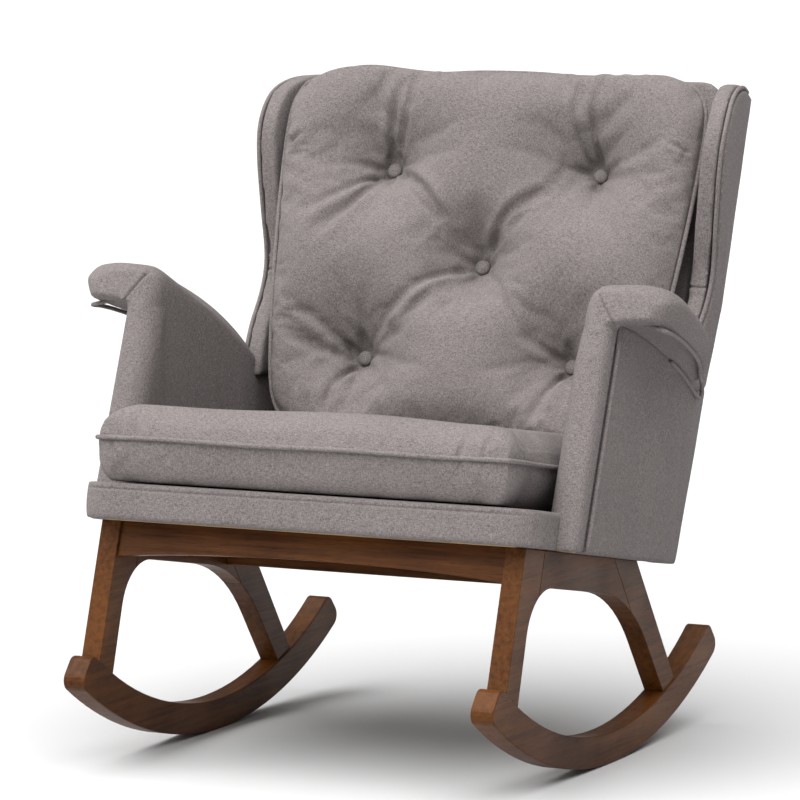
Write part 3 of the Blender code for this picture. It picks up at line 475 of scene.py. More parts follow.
@dataclass(frozen=True)
class Finish:
    """What every finish shares.

    Attributes:
        name: The material's name.
        roughness: Middle roughness of the surface.
    """

    name: str
    roughness: float = 0.8

    def start(self) -> tuple[NodeBench, Node, Material]:
        """Makes the empty material with its shader.

        Returns:
            The bench, the Principled shader and the material.
        """
        material = bpy.data.materials.new(self.name)
        material.use_nodes = True
        bench = NodeBench(material.node_tree)
        shader = material.node_tree.nodes["Principled BSDF"]
        shader.inputs["Roughness"].default_value = self.roughness
        return bench, shader, material

    def bumped(self, bench: NodeBench, shader: Node, height: Socket, depth: float) -> None:
        """Feeds a height to the shader through a Bump node of this depth in metres."""
        bump = bench.add("Bump", {"Strength": 1.0, "Distance": depth, "Height": height})
        bench.feed(shader.inputs["Normal"], bump.outputs[0])


@dataclass(frozen=True)
class CoverCloth(Finish):
    """Plain heathered weave.

    Attributes:
        pale: Colour of the pale yarn.
        deep: Colour of the deep yarn.
        pitch: Threads in a metre.
        relief: Height of the threads.
        sheen: How much the nap catches light.
    """

    pale: Triple = (0.325, 0.288, 0.281)
    deep: Triple = (0.072, 0.062, 0.061)
    pitch: float = 850.0
    relief: float = 0.00035
    sheen: float = 0.05

    def make(self, weave: Tree) -> Material:
        """Builds the material round the shared weave.

        Args:
            weave: The weave group.

        Returns:
            The material.
        """
        bench, shader, material = self.start()
        coords = bench.add("TexCoord")
        cloth = bench.add("UVMap", uv_map="cloth")
        group = bench.add("Group", node_tree=weave)
        colours = (*self.pale, 1.0), (*self.deep, 1.0)
        values = (coords.outputs["Object"], cloth.outputs[0], *colours, self.pitch)
        for number, value in enumerate(values):
            bench.feed(group.inputs[number], value)
        bench.feed(shader.inputs["Base Color"], group.outputs[0])
        bench.feed(shader.inputs["Roughness"], bench.span(group.outputs[2], 0.0, 1.0, self.roughness, 1.0))
        shader.inputs["Sheen Weight"].default_value = self.sheen
        shader.inputs["Sheen Roughness"].default_value = 0.45
        shader.inputs["Specular IOR Level"].default_value = 0.12
        self.bumped(bench, shader, group.outputs[1], self.relief)
        return material


@dataclass(frozen=True)
class StainedTimber(Finish):
    """Timber with a stain and a thin satin lacquer.

    Attributes:
        light: Colour of the pale figure.
        dark: Colour of the dark figure.
        pore: Colour in the pores.
        run: Which way the grain runs.
        relief: Depth of the pores.
        coat: Strength of the lacquer.
    """

    light: Triple = (0.132, 0.046, 0.0098)
    dark: Triple = (0.028, 0.0080, 0.0014)
    pore: Triple = (0.008, 0.003, 0.0012)
    run: GrainRun = GrainRun.ALONG_X
    relief: float = 0.00012
    coat: float = 0.05

    def make(self, grain: Tree) -> Material:
        """Builds the material round the shared grain.

        Args:
            grain: The grain group.

        Returns:
            The material.
        """
        bench, shader, material = self.start()
        coords = bench.add("TexCoord")
        turned = bench.add("Mapping", {"Vector": coords.outputs["Object"]}, vector_type="TEXTURE")
        turned.inputs["Rotation"].default_value = tuple(math.radians(a) for a in self.run.value)
        group = bench.add("Group", node_tree=grain)
        values = (turned.outputs[0], (*self.light, 1.0), (*self.dark, 1.0), (*self.pore, 1.0))
        for number, value in enumerate(values):
            bench.feed(group.inputs[number], value)
        bench.feed(shader.inputs["Base Color"], group.outputs[0])
        gloss = bench.span(group.outputs[2], 0.0, 1.0, self.roughness + 0.08, self.roughness - 0.08)
        bench.feed(shader.inputs["Roughness"], gloss)
        shader.inputs["Coat Weight"].default_value = self.coat
        shader.inputs["Coat Roughness"].default_value = 0.30
        shader.inputs["Specular IOR Level"].default_value = 0.10
        self.bumped(bench, shader, group.outputs[1], self.relief)
        return material


@dataclass(frozen=True)
class PlainCloth(Finish):
    """Spun black dust cloth or a woven elastic strap.

    Attributes:
        colour: Middle colour.
        speckle: How much the colour varies.
        ribs: Ribs in a metre, 0 for none.
    """

    colour: Triple = (0.02, 0.02, 0.021)
    speckle: float = 0.5
    ribs: float = 0.0

    def make(self) -> Material:
        """Builds the material.

        Returns:
            The material.
        """
        bench, shader, material = self.start()
        place = bench.add("TexCoord").outputs["Object"]
        fibre = bench.noise(place, 1400.0, 3.0, 0.7)
        blot = bench.noise(place, 60.0, 2.0, 0.5)
        low = tuple(c * (1 - self.speckle) for c in self.colour)
        high = tuple(min(1.0, c * (1 + self.speckle)) for c in self.colour)
        share = bench.span(bench.mixed((fibre, 0.6), (blot, 0.4)), 0.3, 0.7)
        bench.feed(shader.inputs["Base Color"], bench.blend(share, (*low, 1.0), (*high, 1.0)))
        rough = bench.span(fibre, 0.3, 0.7, self.roughness - 0.1, self.roughness)
        bench.feed(shader.inputs["Roughness"], rough)
        height = fibre
        if self.ribs:
            y = bench.add("SeparateXYZ", {0: place}).outputs[0]
            height = bench.maths("SINE", bench.maths("MULTIPLY", y, self.ribs * 2 * math.pi))
        self.bumped(bench, shader, height, 0.0003)
        return material


@dataclass(frozen=True)
class PlatedSteel(Finish):
    """Zinc-plated steel with a spangled plating."""

    def make(self) -> Material:
        """Builds the material.

        Returns:
            The material.
        """
        bench, shader, material = self.start()
        place = bench.add("TexCoord").outputs["Object"]
        spangle = bench.noise(place, 700.0, 3.0, 0.6)
        shader.inputs["Metallic"].default_value = 1.0
        colour = bench.blend(spangle, (0.30, 0.30, 0.31, 1.0), (0.55, 0.55, 0.56, 1.0))
        bench.feed(shader.inputs["Base Color"], colour)
        rough = bench.span(spangle, 0.3, 0.7, self.roughness - 0.1, self.roughness + 0.1)
        bench.feed(shader.inputs["Roughness"], rough)
        self.bumped(bench, shader, spangle, 0.00005)
        return material


class Finishes:
    """Every finish of the chair, each made once."""

    def __init__(self) -> None:
        """Builds the shared groups and the materials."""
        weave, grain = weave_group(), grain_group()
        self.cover = CoverCloth("cover_cloth", 0.86).make(weave)
        self.welt = CoverCloth("welt_cloth", 0.86, pitch=1000.0, relief=0.00025).make(weave)
        self.timber: dict[GrainRun, Material] = {}
        for run in GrainRun:
            self.timber[run] = StainedTimber(f"walnut_{run.name.lower()}", 0.40, run=run).make(grain)
        pale = {"light": (0.62, 0.45, 0.27), "dark": (0.42, 0.28, 0.15), "pore": (0.25, 0.16, 0.08)}
        self.bare = StainedTimber("bare_timber", 0.8, **pale, coat=0.0).make(grain)
        self.dust = PlainCloth("spun_dust_cloth", 0.95).make()
        self.strap = PlainCloth("strap_webbing", 0.9, colour=(0.08, 0.078, 0.075), ribs=420.0).make()
        self.steel = PlatedSteel("zinc_plating", 0.38).make()


# --- workshop


def apply_all(obj: Piece) -> None:
    """Applies every modifier of an object in order.

    Args:
        obj: The object.
    """
    bpy.ops.object.select_all(action="DESELECT")
    obj.select_set(True)
    bpy.context.view_layer.objects.active = obj
    for modifier in list(obj.modifiers):
        bpy.ops.object.modifier_apply(modifier=modifier.name)


def object_from(name: str, shape: bmesh.types.BMesh) -> Piece:
    """Turns a bmesh into an object at the origin, its faces outwards.

    Args:
        name: The object's name.
        shape: The bmesh, which is freed.

    Returns:
        The object.
    """
    bmesh.ops.recalc_face_normals(shape, faces=shape.faces)
    mesh = bpy.data.meshes.new(name)
    shape.to_mesh(mesh)
    shape.free()
    obj = bpy.data.objects.new(name, mesh)
    bpy.context.scene.collection.objects.link(obj)
    return obj


def joined(name: str, parts: Sequence[Piece]) -> Piece:
    """Joins objects into the first and names it.

    Args:
        name: The new name.
        parts: Two objects or more.

    Returns:
        The joined object.
    """
    bpy.ops.object.select_all(action="DESELECT")
    for part in parts:
        part.select_set(True)
    bpy.context.view_layer.objects.active = parts[0]
    bpy.ops.object.join()
    parts[0].name = name
    return parts[0]


def coordinates(obj: Piece) -> Array:
    """An object's vertices as an array.

    Args:
        obj: The object.

    Returns:
        (n, 3) points.
    """
    out = np.empty(len(obj.data.vertices) * 3)
    obj.data.vertices.foreach_get("co", out)
    return out.reshape(-1, 3)


def normals(obj: Piece) -> Array:
    """An object's vertex normals as an array.

    Args:
        obj: The object.

    Returns:
        (n, 3) normals.
    """
    out = np.empty(len(obj.data.vertices) * 3)
    obj.data.vertex_normals.foreach_get("vector", out)
    return out.reshape(-1, 3)


def reshape(obj: Piece, points: Array) -> None:
    """Gives an object's vertices new places."""
    obj.data.vertices.foreach_set("co", points.astype(np.float32).ravel())
    obj.data.update()


def prism(name: str, outline: Outline, low: float, high: float, place: Place) -> Piece:
    """A flat outline pushed from low to high.

    Args:
        name: The object's name.
        outline: Plane points in order.
        low: Where it starts.
        high: Where it ends.
        place: Turns (a, b, height) into a point.

    Returns:
        A closed object.
    """
    shape = bmesh.new()
    under = [shape.verts.new(place(a, b, low)) for a, b in outline]
    over = [shape.verts.new(place(a, b, high)) for a, b in outline]
    shape.faces.new(under)
    shape.faces.new(over[::-1])
    for i in range(len(outline)):
        j = (i + 1) % len(outline)
        shape.faces.new((under[i], over[i], over[j], under[j]))
    return object_from(name, shape)


def sliced_prism(
    name: str, outline: Outline, low: float, high: float, place: Place, cuts: Sequence[float]
) -> Piece:
    """A prism whose sides are cut at each of these first coordinates, so that they can bend.

    Args:
        name: The object's name.
        outline: Plane points in order.
        low: Where it starts.
        high: Where it ends.
        place: Turns (a, b, height) into a point.
        cuts: First coordinates of the cuts.

    Returns:
        A closed object.
    """
    obj = prism(name, outline, low, high, lambda a, b, x: Vector((x, a, b)))
    shape = bmesh.new()
    shape.from_mesh(obj.data)
    for cut in cuts:
        whole = shape.verts[:] + shape.edges[:] + shape.faces[:]
        bmesh.ops.bisect_plane(shape, geom=whole, plane_co=(0, cut, 0), plane_no=(0, 1, 0))
    for vert in shape.verts:
        vert.co = place(vert.co.y, vert.co.z, vert.co.x)
    bmesh.ops.recalc_face_normals(shape, faces=shape.faces)
    shape.to_mesh(obj.data)
    shape.free()
    return obj


def loft(name: str, sections: Sequence[Points]) -> Piece:
    """A closed solid through sections of equal length, filled at both ends.

    Args:
        name: The object's name.
        sections: Rings of points, in order.

    Returns:
        The solid.
    """
    shape = bmesh.new()
    rows = [[shape.verts.new(p) for p in section] for section in sections]
    shape.faces.new(rows[0])
    shape.faces.new(rows[-1][::-1])
    for first, second in zip(rows, rows[1:]):
        for i in range(len(first)):
            j = (i + 1) % len(first)
            shape.faces.new((first[i], second[i], second[j], first[j]))
    return object_from(name, shape)


def smooth_path(points: Sequence[Sequence[float]], steps: int, closed: bool = False) -> Array:
    """A smooth curve through points of any dimension.

    Args:
        points: Knots in order.
        steps: Points per span.
        closed: Whether the curve meets its own start.

    Returns:
        The curve's points.
    """
    knots = np.array(points, float)
    count = len(knots)
    out = []
    for i in range(count if closed else count - 1):
        if closed:
            a, b, c, d = (knots[(i + k) % count] for k in (-1, 0, 1, 2))
        else:
            a, b, c, d = (knots[min(max(i + k, 0), count - 1)] for k in (-1, 0, 1, 2))
        square, cube = 2 * a - 5 * b + 4 * c - d, 3 * b - a - 3 * c + d
        for t in np.arange(steps) / steps:
            out.append(0.5 * (2 * b + (c - a) * t + square * t * t + cube * t**3))
    if not closed:
        out.append(knots[-1])
    return np.array(out)


def evened(path: Array, spacing: float, closed: bool = False) -> Array:
    """The same path with points at an even spacing.

    Args:
        path: Points in order.
        spacing: Distance between the new points.
        closed: Whether the path meets its own start.

    Returns:
        The new points.
    """
    line = np.vstack([path, path[:1]]) if closed else path
    length = np.concatenate([[0.0], np.cumsum(np.linalg.norm(np.diff(line, axis=0), axis=1))])
    count = max(3, round(length[-1] / spacing))
    stops = np.linspace(0.0, length[-1], count + 1)[: count if closed else count + 1]
    return np.stack([np.interp(stops, length, line[:, k]) for k in range(line.shape[1])], axis=1)


def rounded(points: Outline, radii: Sequence[float], steps: int = 6) -> list[Pair]:
    """The polygon with each corner rounded by its own radius.

    Args:
        points: Corners in order.
        radii: Radius of each corner, 0 for a sharp one.
        steps: Straight runs in each arc.

    Returns:
        The rounded outline.
    """
    out: list[Pair] = []
    for i, (point, radius) in enumerate(zip(points, radii)):
        corner = Vector(point)
        a = Vector(points[i - 1]) - corner
        b = Vector(points[(i + 1) % len(points)]) - corner
        if radius <= 0:
            out.append(tuple(point))
            continue
        a.normalize()
        b.normalize()
        half = a.angle(b) / 2
        centre = corner + (a + b).normalized() * (radius / math.sin(half))
        start = corner + a * (radius / math.tan(half)) - centre
        end = corner + b * (radius / math.tan(half)) - centre
        sweep = start.angle(end)
        for k in range(steps + 1):
            share = k / steps
            mix = start * math.sin((1 - share) * sweep) + end * math.sin(share * sweep)
            out.append(tuple(centre + mix / math.sin(sweep)))
    return out


def lay_cloth(obj: Piece, turn: Matrix | None = None) -> None:
    """Lays the weave on a piece: each face takes the two axes that it faces least, in metres.

    Args:
        obj: The piece.
        turn: A turn into the piece's own straight axes, so that the threads run true on a raked piece.
    """
    mesh = obj.data
    layer = mesh.uv_layers.get("cloth") or mesh.uv_layers.new(name="cloth")
    points = coordinates(obj)
    count = len(mesh.loops)
    corner = np.empty(count, np.int32)
    mesh.loops.foreach_get("vertex_index", corner)
    facing = np.empty(len(mesh.polygons) * 3)
    mesh.polygons.foreach_get("normal", facing)
    facing = facing.reshape(-1, 3)
    if turn is not None:
        own = np.array(turn.to_3x3())
        points, facing = points @ own.T, facing @ own.T
    totals = np.empty(len(mesh.polygons), np.int32)
    mesh.polygons.foreach_get("loop_total", totals)
    axis = np.repeat(np.abs(facing).argmax(1), totals)
    spots = points[corner]
    u = np.where(axis == 0, spots[:, 1], spots[:, 0])
    v = np.where(axis == 2, spots[:, 1], spots[:, 2])
    layer.data.foreach_set("uv", np.stack([u, v], axis=1).astype(np.float32).ravel())


def cord(
    name: str, path: Array, radius: float, closed: bool = False, pinch: float = 1.0
) -> Piece:
    """A covered cord along a path, with the weave laid on the bias round it.

    Args:
        name: The object's name.
        path: Centre points in order.
        radius: The cord's radius.
        closed: Whether it meets its own start.
        pinch: Size of its two ends beside its middle.

    Returns:
        The cord.
    """
    points = [Vector(p) for p in path]
    count, sides = len(points), 12
    turns = [2 * math.pi * k / sides for k in range(sides)]
    bias = math.sqrt(0.5)
    shape = bmesh.new()
    layer = shape.loops.layers.uv.new("cloth")
    rows = []
    across: Vector | None = None
    run = 0.0
    runs = []
    for i, point in enumerate(points):
        after, before = ((i + 1) % count, i - 1) if closed else (min(i + 1, count - 1), max(i - 1, 0))
        ahead = (points[after] - points[before]).normalized()
        across = ahead.orthogonal() if across is None else across - ahead * across.dot(ahead)
        across.normalize()
        other = ahead.cross(across)
        size = radius
        if not closed and i in (0, count - 1):
            size *= pinch
        ring = [point + size * (across * math.cos(a) + other * math.sin(a)) for a in turns]
        rows.append([shape.verts.new(spot) for spot in ring])
        run += (point - points[i - 1]).length if i else 0.0
        runs.append(run)
    pairs = [(i, i + 1) for i in range(count - 1)] + ([(count - 1, 0)] if closed else [])
    for i, j in pairs:
        far = runs[j] if j else run + (points[0] - points[-1]).length
        for k in range(sides):
            m = (k + 1) % sides
            face = shape.faces.new((rows[i][k], rows[j][k], rows[j][m], rows[i][m]))
            girth = (2 * math.pi * radius * k / sides, 2 * math.pi * radius * (k + 1) / sides)
            spots = ((runs[i], girth[0]), (far, girth[0]), (far, girth[1]), (runs[i], girth[1]))
            for loop, (a, b) in zip(face.loops, spots):
                loop[layer].uv = ((a + b) * bias, (b - a) * bias)
    if not closed:
        shape.faces.new(rows[0])
        shape.faces.new(rows[-1][::-1])
    return object_from(name, shape)


@dataclass
class Upholsterer:
    """Softens, dresses and hangs each covered piece.

    Attributes:
        finishes: The chair's materials.
        made: Names of the pieces made so far.
    """

    finishes: Finishes
    made: list[str] = field(default_factory=list)

    def soften(self, obj: Piece, voxel: float, passes: int) -> None:
        """Turns joined solids into one padded skin.

        Args:
            obj: Closed solids, which may run into each other.
            voxel: Size of the new mesh's faces.
            passes: Rounds of smoothing, which round its edges.
        """
        remesh = obj.modifiers.new("skin", "REMESH")
        remesh.mode = "VOXEL"
        remesh.voxel_size = voxel
        remesh.use_smooth_shade = True
        smooth = obj.modifiers.new("ease", "SMOOTH")
        smooth.factor = 0.5
        smooth.iterations = passes
        apply_all(obj)

    def seam(
        self,
        obj: Piece,
        start: Vector,
        end: Vector,
        facing: Vector,
        depth: float,
        pucker: float = 0.0,
    ) -> None:
        """Draws a sewn seam into a skin: the skin is cut finer, the line sunk and the cloth rolled beside it.

        Args:
            obj: The skin.
            start: Where the seam starts.
            end: Where it ends.
            facing: Which way the skin faces there.
            depth: How deep it lies.
            pucker: Height of the small gathers beside it.
        """
        first, along = np.array(start), np.array(end) - np.array(start)
        out = np.array(facing.normalized())
        across = np.cross(along, out)
        across /= np.linalg.norm(across)

        def beside(points: Array) -> Spots:
            """Finds how points lie to the seam.

            Args:
                points: (n, 3) points.

            Returns:
                Distance aside, share of the seam's length, and 1 where the seam works, 0 where it doesn't.
            """
            off = points - first
            share = off @ along / (along @ along)
            level = off @ out - share * (along @ out)
            window = np.clip(np.minimum(share, 1 - share) / 0.06 + 0.2, 0, 1) * (np.abs(level) < 0.022)
            return off @ across, share, window

        shape = bmesh.new()
        shape.from_mesh(obj.data)
        aside, _, window = beside(np.array([vert.co for vert in shape.verts]))
        close = (np.abs(aside) < 0.0065) & (window > 0)
        edges = [edge for edge in shape.edges if all(close[vert.index] for vert in edge.verts)]
        bmesh.ops.subdivide_edges(shape, edges=edges, cuts=2, use_grid_fill=True)
        shape.to_mesh(obj.data)
        shape.free()
        points = coordinates(obj)
        aside, share, window = beside(points)
        window = window * np.clip(normals(obj) @ out * 3 + 0.6, 0, 1)
        roll = 0.35 * depth * (gauss(aside - 0.0045, 0.0028) + gauss(aside + 0.0045, 0.0028))
        length = np.linalg.norm(along)
        gather = pucker * np.sin(share * length * 780) * gauss(np.abs(aside) - 0.005, 0.004)
        shift = window * (roll + gather - depth * gauss(aside, 0.0014))
        reshape(obj, points + normals(obj) * shift[:, None])

    def hang(
        self,
        obj: Piece,
        body: Body,
        nodes: Sequence[str],
        material: Material | None = None,
        fill: float | None = None,
        turn: Matrix | None = None,
    ) -> None:
        """Gives a finished piece its cloth, its body and its place in the frame.

        Args:
            obj: The piece.
            body: The body that it rides on.
            nodes: The frame's nodes that it stands for.
            material: Its finish, the cover cloth unless given.
            fill: How tightly it is stuffed, if it is padded. Not used.
            turn: A turn into its own straight axes, for the weave.
        """
        if obj.data.uv_layers.get("cloth") is None:
            lay_cloth(obj, turn)
        obj.data.materials.clear()
        obj.data.materials.append(material or self.finishes.cover)
        obj.data.shade_smooth()
        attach(obj, body.value)
        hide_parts(*nodes)
        self.made.append(obj.name)
        log.info("%s: %d faces on %s", obj.name, len(obj.data.polygons), body.value)


def gauss(distance: Array, width: float) -> Array:
    """A bell of this width over a distance."""
    return np.exp(-((distance / width) ** 2))


def along_line(points: Array, line: Array) -> Spots:
    """How points lie to a polyline.

    Args:
        points: (n, k) points.
        line: (m, k) corners of the line.

    Returns:
        Distance to the line, share of its length at the nearest point, and the side in the first two axes.
    """
    best = np.full(len(points), np.inf)
    share = np.zeros(len(points))
    side = np.ones(len(points))
    length = np.concatenate([[0.0], np.cumsum(np.linalg.norm(np.diff(line, axis=0), axis=1))])
    for i in range(len(line) - 1):
        a, d = line[i], line[i + 1] - line[i]
        k = np.clip((points - a) @ d / (d @ d), 0, 1)
        away = points - a - k[:, None] * d
        distance = np.linalg.norm(away, axis=1)
        nearer = distance < best
        best = np.where(nearer, distance, best)
        share = np.where(nearer, (length[i] + k * (length[i + 1] - length[i])) / length[-1], share)
        side = np.where(nearer, np.sign(d[0] * away[:, 1] - d[1] * away[:, 0]), side)
    return best, share, side


# --- timber base


@dataclass
class TimberBase:
    """The walnut base, screws and hidden timber: frame pieces that keep their shape and take their finish."""

    finishes: Finishes

    def dress(self, nodes: dict[str, Piece]) -> None:
        """Gives each frame piece its finish.

        Args:
            nodes: The frame's pieces by name.
        """
        for name, obj in nodes.items():
            material = self.finish_of(name)
            if material is not None:
                obj.data.materials.clear()
                obj.data.materials.append(material)

    def finish_of(self, name: str) -> Material | None:
        """The finish of a frame piece, by its name.

        Args:
            name: The piece's name.

        Returns:
            The finish, or None where a cover hides the piece.
        """
        made = self.finishes
        if name.startswith(("rocker", "side_rail")):
            return made.timber[GrainRun.ALONG_Y]
        if name.endswith(("_screw_left", "_screw_right")):
            return made.steel
        if "dowel" in name or name.startswith(("seat_frame", "arm_board", "back_board")):
            return made.bare
        if name.startswith("front_leg"):
            return made.timber[GrainRun.UP_FRONT_LEG]
        if name.startswith("rear_leg"):
            return made.timber[GrainRun.UP_REAR_LEG]
        if name in ("front_rail", "rear_rail"):
            return made.timber[GrainRun.ALONG_X]
        if name.startswith("webbing"):
            return made.strap
        if name == "dust_cover":
            return made.dust
        return None


# --- seat platform


@dataclass
class SeatPlatform:
    """The fixed seat: its padded apron and the covered deck under the cushion.

    Attributes:
        half: Half the apron's width.
        height: Height of the apron.
        corner: Radius of its front corners, in plan.
        returns: How far it runs back at each side.
        thick: How thick its front is.
        inner: Half the width between its side returns.
        stitches: Height of its row of stitches.
        deck_half: Half the deck's width at the front and at the back.
        deck_span: Where the deck starts and ends along the seat.
        deck_level: Heights of the deck's two faces over the seat plane.
        deck_corner: How far before its rear edge the deck starts to narrow.
    """

    maker: Upholsterer
    half: float = 0.330
    height: float = 0.049
    corner: float = 0.045
    returns: float = 0.110
    thick: float = 0.0275
    inner: float = 0.3045
    stitches: float = 0.0405
    deck_half: Pair = (0.3025, 0.2935)
    deck_span: Pair = (0.0305, 0.4545)
    deck_level: Pair = (0.0431, 0.0490)
    deck_corner: float = 0.07

    def build(self) -> None:
        """Builds the apron and the deck."""
        self.build_apron()
        self.build_deck()

    def build_apron(self) -> None:
        """The padded band round the seat's front, with its row of stitches."""
        inset = 0.0012
        wide, ends = self.half - inset, self.returns - GAP
        right = ((wide, inset), (wide, ends), (self.inner, ends), (self.inner, self.thick))
        left = [(-x, s) for x, s in right[::-1]]
        outline = (left[-1], *right, *left[:-1])
        outline = rounded(outline, (self.corner, self.corner, 0, 0, 0, 0, 0, 0), 10)
        obj = prism("seat_apron_cover", outline, 0.0006, self.height, DATUMS.seat)
        self.maker.soften(obj, 0.0032, 7)
        self.stitch(obj)
        turn = Matrix.Rotation(DATUMS.seat_tilt, 4, "X")
        self.maker.hang(obj, Body.CHAIR, ("seat_apron",), fill=0.8, turn=turn)

    def stitch(self, obj: Piece) -> None:
        """Presses the sewn line under the top edge and lets the face belly out a little.

        Args:
            obj: The apron.
        """
        points, out = coordinates(obj), normals(obj)
        slope = Slope.of(DATUMS.seat)
        x, s, n = slope.read(points)
        outer = np.abs(out @ slope.off) < 0.75
        belly = 0.0012 * np.sin(np.clip(n / self.height, 0, 1) * math.pi) * outer * (s < self.thick - 0.002)
        pull = 0.0006 * np.sin(x * 57 + 1.3) * np.sin(x * 23) * gauss(n - 0.006, 0.010)
        reshape(obj, points + out * (belly + pull)[:, None])
        row = [DATUMS.seat(side.sign * (self.half - 0.006), 0.0, self.stitches) for side in Side]
        down = Vector(slope.origin - slope.along) - Vector(slope.origin)
        self.maker.seam(obj, row[0], row[1], down, 0.0016, 0.0002)

    def build_deck(self) -> None:
        """The covered deck: cloth drawn over the straps, a little hollow in the middle."""
        low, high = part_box("seat_deck")
        front, rear = self.deck_span
        wide, narrow = self.deck_half
        bend = rear - self.deck_corner
        ends = ((-wide, front), (wide, front))
        outline = (*ends, (wide, bend), (narrow, rear), (-narrow, rear), (-wide, bend))
        obj = prism("seat_deck_cover", outline, *self.deck_level, DATUMS.seat)
        self.maker.soften(obj, 0.0045, 2)
        points = coordinates(obj)
        middle = np.array((low + high) / 2)
        away = ((points[:, 0] - middle[0]) / wide) ** 2 + ((points[:, 1] - middle[1]) / 0.22) ** 2
        points[:, 2] -= 0.0015 * np.clip(1 - away, 0, 1)
        reshape(obj, points)
        self.maker.hang(obj, Body.CHAIR, ("seat_deck",), turn=Matrix.Rotation(DATUMS.seat_tilt, 4, "X"))


# --- arms


@dataclass
class Arm:
    """One arm: a padded cover with a flared top, a plain outer panel and the welt between them.

    Attributes:
        side: Which arm.
        inner: X of its inner face at the front.
        outer: X of its outer panel.
        band: Depth of its rounded front band.
        reach: How far in front of the back the arm starts to narrow.
        slopes: How much the inner and outer faces narrow per metre.
        stations: (y, foot, crest, outer edge x, welt height) down the top.
        drops: How far the inner edge lies under the crest, at each station.
        mitre: Ends of the seam where the front band's cloth meets the top's.
        band_top: Height at which the front band ends in the flare.
        welt: Radius of the welt.
    """

    maker: Upholsterer
    side: Side
    inner: float = 0.306
    outer: float = 0.357
    band: float = 0.030
    reach: float = 0.120
    slopes: Pair = (0.130, 0.250)
    stations: tuple[tuple[float, ...], ...] = (
        (-0.1250, 0.5985, 0.6400, 0.4120, 0.6100),
        (-0.1080, 0.5955, 0.6468, 0.4290, 0.6070),
        (-0.0800, 0.5900, 0.6430, 0.4330, 0.6000),
        (-0.0300, 0.5760, 0.6310, 0.4280, 0.5850),
        (0.0200, 0.5570, 0.6160, 0.4190, 0.5690),
        (0.0700, 0.5350, 0.5970, 0.4090, 0.5510),
        (0.1150, 0.5110, 0.5740, 0.3980, 0.5320),
        (0.1500, 0.4890, 0.5480, 0.3850, 0.5120),
        (0.1780, 0.4760, 0.5180, 0.3660, 0.4960),
    )
    drops: tuple[float, ...] = (0.002, 0.003, 0.006, 0.016, 0.024, 0.032, 0.035, 0.031, 0.024)
    mitre: tuple[Triple, ...] = ((0.332, -0.122, 0.641), (0.362, -0.136, 0.600))
    band_top: float = 0.6200
    welt: float = 0.0030

    def build(self) -> None:
        """Builds the cover, the panel and the welt."""
        self.build_cover()
        self.build_panel()
        self.build_welt()

    def taper(self, y: float, z: float, slope: float) -> float:
        """How much the arm has narrowed at this place."""
        return slope * max(0.0, y - DATUMS.back_y(z) + self.reach)

    def place(self, slope: float) -> Place:
        """Places (y, z, x) on this arm, narrowing with this slope.

        Args:
            slope: How much the face narrows per metre.

        Returns:
            The function that places a point.
        """

        def at(y: float, z: float, x: float) -> Vector:
            """Places one point of the side view, x out from the chair's middle."""
            return DATUMS.at(self.side.sign * (x - self.taper(y, z, slope)), y, z)

        return at

    def foot(self, back: float, n: float = 0.0) -> Pair:
        """Where the plane this far behind the arm's front meets the plane n above the seat plane.

        Args:
            back: How far behind the arm's front.
            n: How far above the seat plane.

        Returns:
            (y, z) of the meeting.
        """
        y = DATUMS.arm_front_y(0.331, back)
        for _ in range(30):
            y = DATUMS.arm_front_y(DATUMS.seat_top(y, n), back)
        return y, DATUMS.seat_top(y, n)

    def side_outline(self, back: float, low: float, sink: float) -> list[Pair]:
        """The arm's side view behind its front.

        Args:
            back: How far the front edge is set back.
            low: Height of the foot over the seat plane.
            sink: How far the top edge lies under the stations' feet.

        Returns:
            Points in (y, z).
        """
        foot = self.foot(back, low)
        rear_m = 0.0052
        heel_y = 0.2
        for _ in range(30):
            heel_y = DATUMS.back_y(DATUMS.seat_top(heel_y, low), rear_m)
        heel = (heel_y, DATUMS.seat_top(heel_y, low))
        top = [(s[0], s[1] - sink) for s in self.stations]
        rear_z = 0.4705 - 0.6 * sink
        top = [p for p in top if p[0] > DATUMS.arm_front_y(p[1], back) + 0.004] + [(0.200, rear_z)]
        front = (DATUMS.arm_front_y(top[0][1] + 0.005, back), top[0][1] + 0.005)
        points = [foot, heel, (DATUMS.back_y(rear_z, rear_m), rear_z)] + top[::-1] + [front]
        return rounded(points, [0, 0.020] + [0] * (len(points) - 2), 6)

    def lean_at(self, y: float) -> float:
        """How much a slice leans back: the front slices follow the arm's front."""
        return math.tan(DATUMS.arm_lean) * max(0.0, 1 - (y - self.stations[0][0]) / 0.12)

    def lip(self, y: float, foot: float, outer: float, welt: float) -> Pair:
        """Finds the flare's lower outer edge, where the welt is sewn.

        Args:
            y: Place along the arm.
            foot: Height of the station's foot. Not used.
            outer: X of its outer edge.
            welt: Height of its welt.

        Returns:
            (x, z) of the edge.
        """
        front = min(1.0, max(0.0, (y + 0.125) / 0.03))
        fall = 0.0075 + 0.0045 * front - 0.0035 * min(1.0, max(0.0, (y + 0.03) / 0.12))
        return outer - 0.006 - 0.012 * front, welt - fall

    def opening(self, z: float) -> float:
        """How far the inner face leans outwards at this height."""
        return 0.012 * min(1.2, max(0.0, (z - 0.535) / 0.085)) ** 2

    def corner(self, back: float, radius: float = 0.025) -> float:
        """How far the rounded inner front edge lies outside the inner face, this far behind the front."""
        near = min(radius, max(0.0, back))
        return radius - math.sqrt(radius**2 - (radius - near) ** 2)

